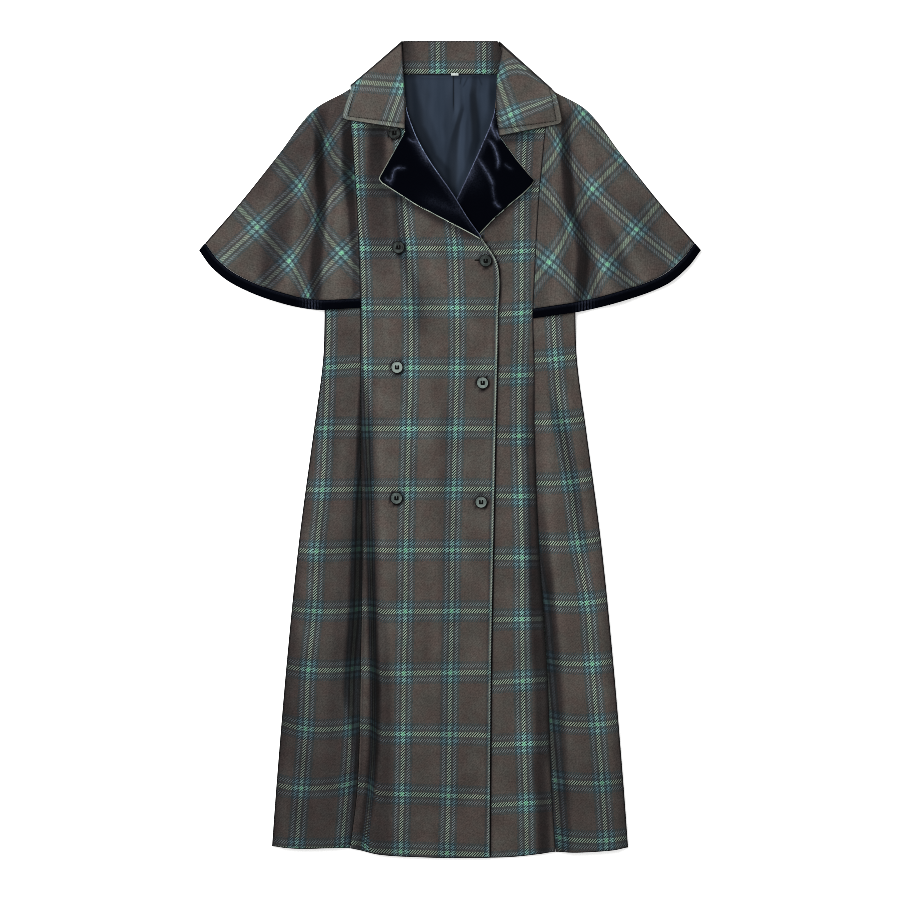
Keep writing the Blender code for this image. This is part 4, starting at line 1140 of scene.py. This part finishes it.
for word in toward:
    steps = len(lapels[word]["rows"]) - 1
    addSheet("lapel_" + word, stations(lapels["width"], 0.0030), np.linspace(0.0, 1.0, 8 * steps + 1),
             layLapel(word, False), cloth["lapel"], "plaid_coating",
             lapels["flat"], lapels["area"], ["front_" + word])
    addSheet("facing_" + word, stations(lapels["width"], 0.0009), np.linspace(0.0, 1.0, 24 * steps + 1),
             layLapel(word, True), cloth["velvet"], "velvet",
             lapels["flat"], lapels["area"], ["lapel_" + word])
print("lapels and facings laid")

# collar: stand behind the neck, and the fall that turns over it
collar = {
    "leafTo": (2.6, 3.8), "sideShare": 0.8, "grooveWide": 0.0015, "grooveDeep": 0.0006, "bulge": 0.0012,
    "bandEnd": (0.005, 0.0066), "stitchHigh": 0.00028, "standSize": (0.145, 0.05),
    "standSpot": (-0.0184, 0.567), "standFlat": (0.15, 0.05), "fallFlat": (0.42, 0.13), "fallArea": 0.033,
    "stitchIn": 0.0068, "stitch": 0.003, "stitchGap": 0.0012, "stitchWide": 0.00042, "leafWidth": 0.092,
    "rowStep": 0.028, "corner": 0.009, "turns": (4, 10), "softTwill": 0.45,
    "stand": {"columns": ("y", "rightX", "leftX", "z"), "rows": (
        (563, -72.5, 79, 5.7), (588, -72.5, 80, 4.6), (612.7, -70, 71.4, 3.5),
    )},
    "fall": {"columns": ("number", "rollX", "rollY", "rollZ", "edgeX", "edgeY", "edgeZ"), "rows": (
        (0, -67.2, 479.8, 13.4, -162.7, 494.7, 11.2), (1, -67, 513, 13.2, -156.5, 516.6, 11.2),
        (2, -69.5, 558, 11.2, -149.5, 536.2, 11), (3, -71.5, 597, 9, -148, 542.5, 9.2),
        (4, -71, 610, 6, -146.8, 544.7, 6.2), (5, -64, 611.2, 3.1, -138, 544, 3.1),
        (6, -30, 611.5, 3.1, -70, 547, 3.1), (7, 2, 611.5, 3.1, 2, 547.5, 3.1),
        (8, 34.5, 611.5, 3.1, 74, 547, 3.1), (9, 69, 610.5, 3.1, 141.5, 542.5, 3.1),
        (10, 72.5, 609.2, 6, 149, 541, 6.2), (11, 77.5, 597, 9, 153, 536.5, 9.2),
        (12, 70, 557.5, 11.2, 159.3, 528.8, 11.2), (13, 69.2, 511, 13.2, 164.5, 508.6, 11.2),
        (14, 73.5, 469, 13.4, 168.5, 488.2, 11.2),
    )},
    # each leaf's check: a crossing, the square-on directions of its two families, ribs per metre along x and y
    "check": {
        "right": {"spot": (-0.0705, 0.545), "across": (0.876, -0.321), "down": (0.068, 0.998), "ribs": (300, 133)},
        "left": {"spot": (0.09, 0.5025), "across": (-0.461, 0.887), "down": (-0.942, -0.336), "ribs": (200, 283)},
    },
    # on the left leaf one stripe bends round under the roll: its course, and the straight one's below it
    "bent": {
        "lower": ((76.8, 494), (90.5, 500.9), (117.9, 512.3), (152.1, 526), (163.6, 531.8)),
        "upper": (
            (67.7, 553.6), (74.5, 563.5), (85.8, 571), (99.6, 573.5), (115.6, 569.5), (133.9, 556),
            (149.9, 545.5), (164, 559),
        ),
    },
}
fallSteps = len(collar["fall"]["rows"]) - 1


def layStand(across, up):
    stand = collar["stand"]
    x = blend(straight(stand, "rightX", up), straight(stand, "leftX", up), across)
    y = straight(stand, "y", up)
    # painted shade towards both ends and along the neck seam, with a dark line under the top edge
    sides = 0.62 * ramp(x, 0.046, 0.078) + 0.60 * ramp(-x, 0.042, 0.070)
    shade = 0.94 - sides - 0.25 * hump(y - shoulder["standY"], 0.003)
    shade = shade * edgeShadeLine("standTop", shoulder["collarTop"] - y)
    return {"x": x, "y": y, "z": straight(stand, "z", up), "u": x - collar["standSpot"][0],
            "v": y - collar["standSpot"][1], "shade": shade}


def fallPoint(around, down):
    number = np.clip(around, 0, 1) * fallSteps
    return [blend(curve(collar["fall"], "roll" + axis, number),
                  curve(collar["fall"], "edge" + axis, number), down)
            for axis in "XYZ"]


def layFall(around, down):
    leafWidth, rowStep, corner = collar["leafWidth"], collar["rowStep"], collar["corner"]
    onRight = around < 0.5
    leafEnd = np.minimum(around, 1.0 - around) * fallSteps
    onLeaf = 1.0 - ramp(leafEnd, *collar["leafTo"])
    fromRoll = down * leafWidth
    endAway, edgeAway = leafEnd * rowStep, (1.0 - down) * leafWidth
    # from the nearest cut edge; the stitched band is wider along the side
    cutAway = np.minimum(collar["sideShare"] * edgeAway, endAway)
    # each leaf's corner is rounded a little
    endIn, edgeIn = np.clip(1.0 - endAway / corner, 0, 1), np.clip(1.0 - edgeAway / corner, 0, 1)
    roundedEnd = (endAway + corner * endIn * (1.0 - np.sqrt(1.0 - edgeIn ** 2 / 2))) / rowStep / fallSteps
    roundedEdge = edgeAway + corner * edgeIn * (1.0 - np.sqrt(1.0 - endIn ** 2 / 2))
    x, y, z = fallPoint(np.where(onRight, roundedEnd, 1.0 - roundedEnd), 1.0 - roundedEdge / leafWidth)
    # painted shade in the stitch groove and along the roll, and a paler, lighter band along the cut edges as a
    # painted highlight
    groove = hump(cutAway - collar["stitchIn"], collar["grooveWide"]) * onLeaf
    bulge = collar["bulge"] * onLeaf * np.sin(math.pi * np.clip(down, 0, 1)) * ease(endAway / 0.02)
    z = z + bulge - collar["grooveDeep"] * groove
    band = onLeaf * (1.0 - ramp(cutAway, *collar["bandEnd"]))
    shade = (1.10 + 0.03 * band) * (1.0 - 0.40 * groove) - 0.30 * hump(fromRoll, 0.003) * onLeaf
    shade = shade * edgeShadeLine("collarCut", cutAway) * edgeShadeLine("collarRoll", fromRoll)
    # painted shade along the turned-under outer edges
    for turn in collar["turns"]:  # dark outer line where the collar turns under
        (fromX, fromY, _), (toX, toY, _) = (fallPoint(turn / fallSteps, down) for down in (0.0, 1.0))
        runX, runY = toX - fromX, toY - fromY
        away = np.abs((x - fromX) * runY - (y - fromY) * runX) / math.hypot(runX, runY)
        shade = shade * edgeShadeLine("collarTurn", away)
    rim = np.where(onRight, 0.12, 0.04) * band + 0.05 * hump(cutAway - 0.0018, 0.0014) * onLeaf
    leaves = {}
    for word, check in collar["check"].items():
        fromX, fromY = x - check["spot"][0], y - check["spot"][1]
        (acrossX, acrossY), (downX, downY), ribs = check["across"], check["down"], check["ribs"]
        leaves[word] = (fromX * acrossX + fromY * acrossY, fromX * downX + fromY * downY,
                        x * ribs[0] * plaid["ribAcross"], -y * ribs[1] * plaid["ribDown"])
    u, v, ribU, ribV = (np.where(onRight, right, left)
                        for right, left in zip(leaves["right"], leaves["left"]))
    lowerY, upperY = (np.interp(x, *(mm * np.array(collar["bent"][name]).T)) for name in ("lower", "upper"))
    bentU = plaid["repeatAcross"] * (y - lowerY) / np.maximum(upperY - lowerY, 0.012)
    u = np.where(~onRight & (onLeaf > 0.0), np.where(y > lowerY, bentU, 0.90 * (y - lowerY)), u)
    return {"x": x, "y": y, "z": z, "u": u, "v": v, "ribU": ribU, "ribV": ribV, "shade": shade, "edge": rim,
            "soft": collar["softTwill"]}


def makeFall():
    fine = np.array([0.0, 0.8, 1.6, 2.6, 3.8, 5.0, 6.0, 6.8, 7.6, 8.6, 9.6, 11.0]) * mm
    ends = fine / collar["rowStep"] / fallSteps
    bm, around, down = startGrid(mergeShares(np.linspace(0.0, 1.0, 169), ends, 1.0 - ends),
                                 mergeShares(np.linspace(0.0, 1.0, 37), 1.0 - fine / collar["leafWidth"]))
    dressGrid(bm, layFall(around, down))
    piece = linkPiece("collar_fall", bm, "plaid_coating", True)
    wall = piece.modifiers.new("Collar cloth", "SOLIDIFY")
    wall.thickness, wall.offset, wall.use_even_offset = cloth["collar"], 1.0, False
    return piece


def makeStitches(name, points, finish):  # a line of short thread stitches laid along points
    bm = bmesh.new()
    steps = [0.0]
    for first, second in zip(points, points[1:]):
        steps.append(steps[-1] + (second - first).length)
    pitch = collar["stitch"] + collar["stitchGap"]
    for count in range(int(steps[-1] / pitch)):
        ends = []
        for distance in (count * pitch, count * pitch + collar["stitch"]):
            i = min(max(j for j in range(len(steps)) if steps[j] <= distance), len(points) - 2)
            ends.append(points[i].lerp(points[i + 1], (distance - steps[i]) / (steps[i + 1] - steps[i])))
        run = ends[1] - ends[0]
        turn = run.to_track_quat("X", "Z").to_matrix().to_4x4()
        size = Matrix.Diagonal((run.length / 2, collar["stitchWide"], collar["stitchHigh"], 1.0))
        bmesh.ops.create_icosphere(bm, subdivisions=1, radius=1.0,
                                   matrix=Matrix.Translation((ends[0] + ends[1]) / 2) @ turn @ size)
    return declare(linkPiece(name, bm, finish, True), "plaid_coating")


def leafStitchLine(word):
    inEdge = collar["stitchIn"] / collar["sideShare"] / collar["leafWidth"]
    inEnd = collar["stitchIn"] / collar["rowStep"] / fallSteps
    path = [(inEnd, down) for down in np.linspace(0.10, 1.0 - inEdge, 30)]
    path += [(around, 1.0 - inEdge) for around in np.linspace(inEnd, 2.9 / fallSteps, 36)[1:]]
    points = []
    for around, down in path:
        x, y, z = fallPoint(around if word == "right" else 1.0 - around, down)
        points.append(Vector((x, y, z + cloth["collar"] + 0.0002 + 0.0006 * math.sin(math.pi * down))))
    return points


addSheet("collar_stand", *grid({"size": collar["standSize"], "step": (0.0040, 0.0040)}), layStand,
         cloth["coating"],
         "plaid_coating", collar["standFlat"], None, ["back"])
fallPiece = makeFall()
leafStitches = [makeStitches("collar_stitching_" + word, leafStitchLine(word), "collarThread")
                for word in toward]
declare(fallPiece, "plaid_coating", "collar_fall", collar["fallFlat"], collar["fallArea"],
        ["front_right", "front_left"], leafStitches)

# label: plain woven tape on the neck seam
label = {"centre": (0.0071, 0.5622), "size": (0.0113, 0.0036), "z": 0.0057 + layer, "bulge": 0.0002}


def layLabel(across, up):
    x = label["centre"][0] + (across - 0.5) * label["size"][0]
    y = label["centre"][1] + (up - 0.5) * label["size"][1]
    return {"x": x, "y": y, "z": label["z"] + label["bulge"] * np.sin(math.pi * across)}


addSheet("neck_label", np.linspace(0, 1, 13), np.linspace(0, 1, 7), layLabel, cloth["satin"], "label_tape")
print("collar and label made")


# buttons
def frontTop(x, y):
    return float((rightUnderside(np.array([x]), np.array([y])) + cloth["coating"])[0])


def buttonStance(x, y):
    radius = buttons["diameter"] / 2
    rim = [Matrix.Rotation(math.radians(turn), 2) @ Vector((radius, 0.0)) for turn in range(0, 360, 30)]
    heights = [frontTop(x + spot.x, y + spot.y) for spot in rim]
    slopeX = buttons["lean"] * (heights[0] - heights[6]) / (2 * radius)
    slopeY = buttons["lean"] * (heights[3] - heights[9]) / (2 * radius)
    clear = [height - slopeX * spot.x - slopeY * spot.y for height, spot in zip(heights, rim)]
    seat = max(clear + [frontTop(x, y)]) + cloth["gap"]
    turn = Vector((0.0, 0.0, 1.0)).rotation_difference(Vector((-slopeX, -slopeY, 1.0))).to_matrix().to_4x4()
    return Matrix.Translation((x, y, seat)) @ turn


def addBlobs(bm, spots, radius, squash):  # a short run of thread, built of overlapping balls
    for spot in spots:
        bmesh.ops.create_icosphere(bm, subdivisions=2, radius=radius,
                                   matrix=Matrix.Translation(spot) @ Matrix.Diagonal((*squash, 1.0)))


def drillHoles(piece):
    holes = bmesh.new()
    for column in (-1, 1):
        for row in (-1, 1):
            centre = Matrix.Translation(Vector((column, row, 0.0)) * (buttons["holeSpacing"] / 2))
            bmesh.ops.create_cone(holes, cap_ends=True, segments=20, radius1=buttons["hole"] / 2,
                                  radius2=buttons["hole"] / 2, depth=4 * buttons["thickness"], matrix=centre)
    cutter = linkMesh("buttonHoles", holes)
    drill = piece.modifiers.new("Thread holes", "BOOLEAN")
    drill.operation, drill.solver, drill.object = "DIFFERENCE", "EXACT", cutter
    drilled = bpy.data.meshes.new_from_object(piece.evaluated_get(bpy.context.evaluated_depsgraph_get()))
    piece.modifiers.clear()
    piece.data = drilled
    bpy.data.objects.remove(cutter, do_unlink=True)
    return drilled


def makeButton(number, x, y, pale):
    radius, thick = buttons["diameter"] / 2, buttons["thickness"]
    stance = buttonStance(x, y)
    bm = bmesh.new()
    foot = radius * buttons["foot"]
    bmesh.ops.create_cone(bm, cap_ends=True, segments=64, radius1=foot, radius2=radius, depth=thick)
    bmesh.ops.translate(bm, verts=bm.verts, vec=(0.0, 0.0, thick / 2))
    rings = [e for e in bm.edges if len({round(v.co.z, 6) for v in e.verts}) == 1]
    bmesh.ops.bevel(bm, geom=rings, offset=buttons["edge"], segments=3, affect="EDGES",
                    profile=0.5, material=-1)
    top = max(bm.faces, key=lambda face: face.calc_center_median().z)
    for width in buttons["insets"]:
        bmesh.ops.inset_region(bm, faces=[top], thickness=width)
    bmesh.ops.translate(bm, verts=top.verts, vec=(0.0, 0.0, -buttons["dish"]))
    for face in bm.faces:
        face.smooth = len(face.verts) < 10
    piece = linkPiece("button_" + str(number), bm, "button_resin")
    drilled = drillHoles(piece)
    tones = drilled.attributes.new("shade", "FLOAT", "POINT")
    # painted shade: the rim is drawn dark round the paler face
    for v, tone in zip(drilled.vertices, tones.data):  # a dark rim round a paler face
        tone.value = pale - (1.3 if math.hypot(v.co.x, v.co.y) > radius - buttons["edge"] - 0.0004 else 0.0)
    drilled.transform(stance)
    declare(piece, "button_resin", "button_" + str(number))
    # thread over the face from hole to hole, in a U
    bars = bmesh.new()
    half, faceZ = buttons["holeSpacing"] / 2, thick - buttons["dish"] + 0.0004
    path = [(column * half, row * half, faceZ) for column in (-1, 1) for row in np.linspace(-1.0, 1.0, 9)]
    path += [(across * half, -half, faceZ) for across in np.linspace(-0.7, 0.7, 5)]
    addBlobs(bars, path, buttons["thread"], (1.0, 1.0, 0.7))
    bmesh.ops.transform(bars, matrix=stance, verts=bars.verts)
    declare(linkPiece("button_thread_" + str(number), bars, "darkThread", True), "button_resin")


for number, (x, y, pale) in enumerate(buttons["spots"], start=1):
    makeButton(number, x, y, pale)
holeEnd = bmesh.new()  # worked end of the top left buttonhole, beside its button
fromX, toX, holeY = buttons["hole5"]
spots = [(spotX, holeY, frontTop(spotX, holeY) + 0.0002) for spotX in np.linspace(fromX, toX, 9)]
addBlobs(holeEnd, spots, 0.0010, (0.7, 1.0, 0.5))
declare(linkPiece("buttonhole_5", holeEnd, "darkThread"), "plaid_coating")
print("buttons made:", len(buttons["spots"]))

# floor, light and camera
studio = {"world": 0.60, "floorHalf": 6.0, "floorZ": -0.0004, "key": 62.0, "keySize": 1.5,
          "keyPlace": (-1.05, 1.00, 2.00), "keyAim": (0.0, 0.15, 0.0), "cameraPlace": (0.0, -0.00075, 3.1935),
          "lens": 85.0, "sensor": 36.0}
scene = bpy.context.scene
paper = bmesh.new()
bmesh.ops.create_grid(paper, x_segments=8, y_segments=8, size=studio["floorHalf"])
floor = linkMesh("floor", paper, mattPaper())
floor.location.z = studio["floorZ"]

world = bpy.data.worlds.new("studio")
scene.world = world
world.use_nodes = True
background = world.node_tree.nodes["Background"]
background.inputs["Color"].default_value = (1.0, 1.0, 1.0, 1.0)
background.inputs["Strength"].default_value = studio["world"]

keyData = bpy.data.lights.new("key", "AREA")
keyData.energy, keyData.size = studio["key"], studio["keySize"]
key = linkObject("key", keyData)
key.location = studio["keyPlace"]
key.rotation_mode = "QUATERNION"
key.rotation_quaternion = (Vector(studio["keyPlace"]) - Vector(studio["keyAim"])).to_track_quat("Z", "Y")

cameraData = bpy.data.cameras.new("camera")
cameraData.lens, cameraData.sensor_width = studio["lens"], studio["sensor"]
camera = linkObject("camera", cameraData)
camera.location = studio["cameraPlace"]
scene.camera = camera
scene.view_settings.view_transform = "Standard"
scene.cycles.use_denoising = False  # it wipes out the twill rib
scene.cycles.filter_width = 0.7
print("stage set")
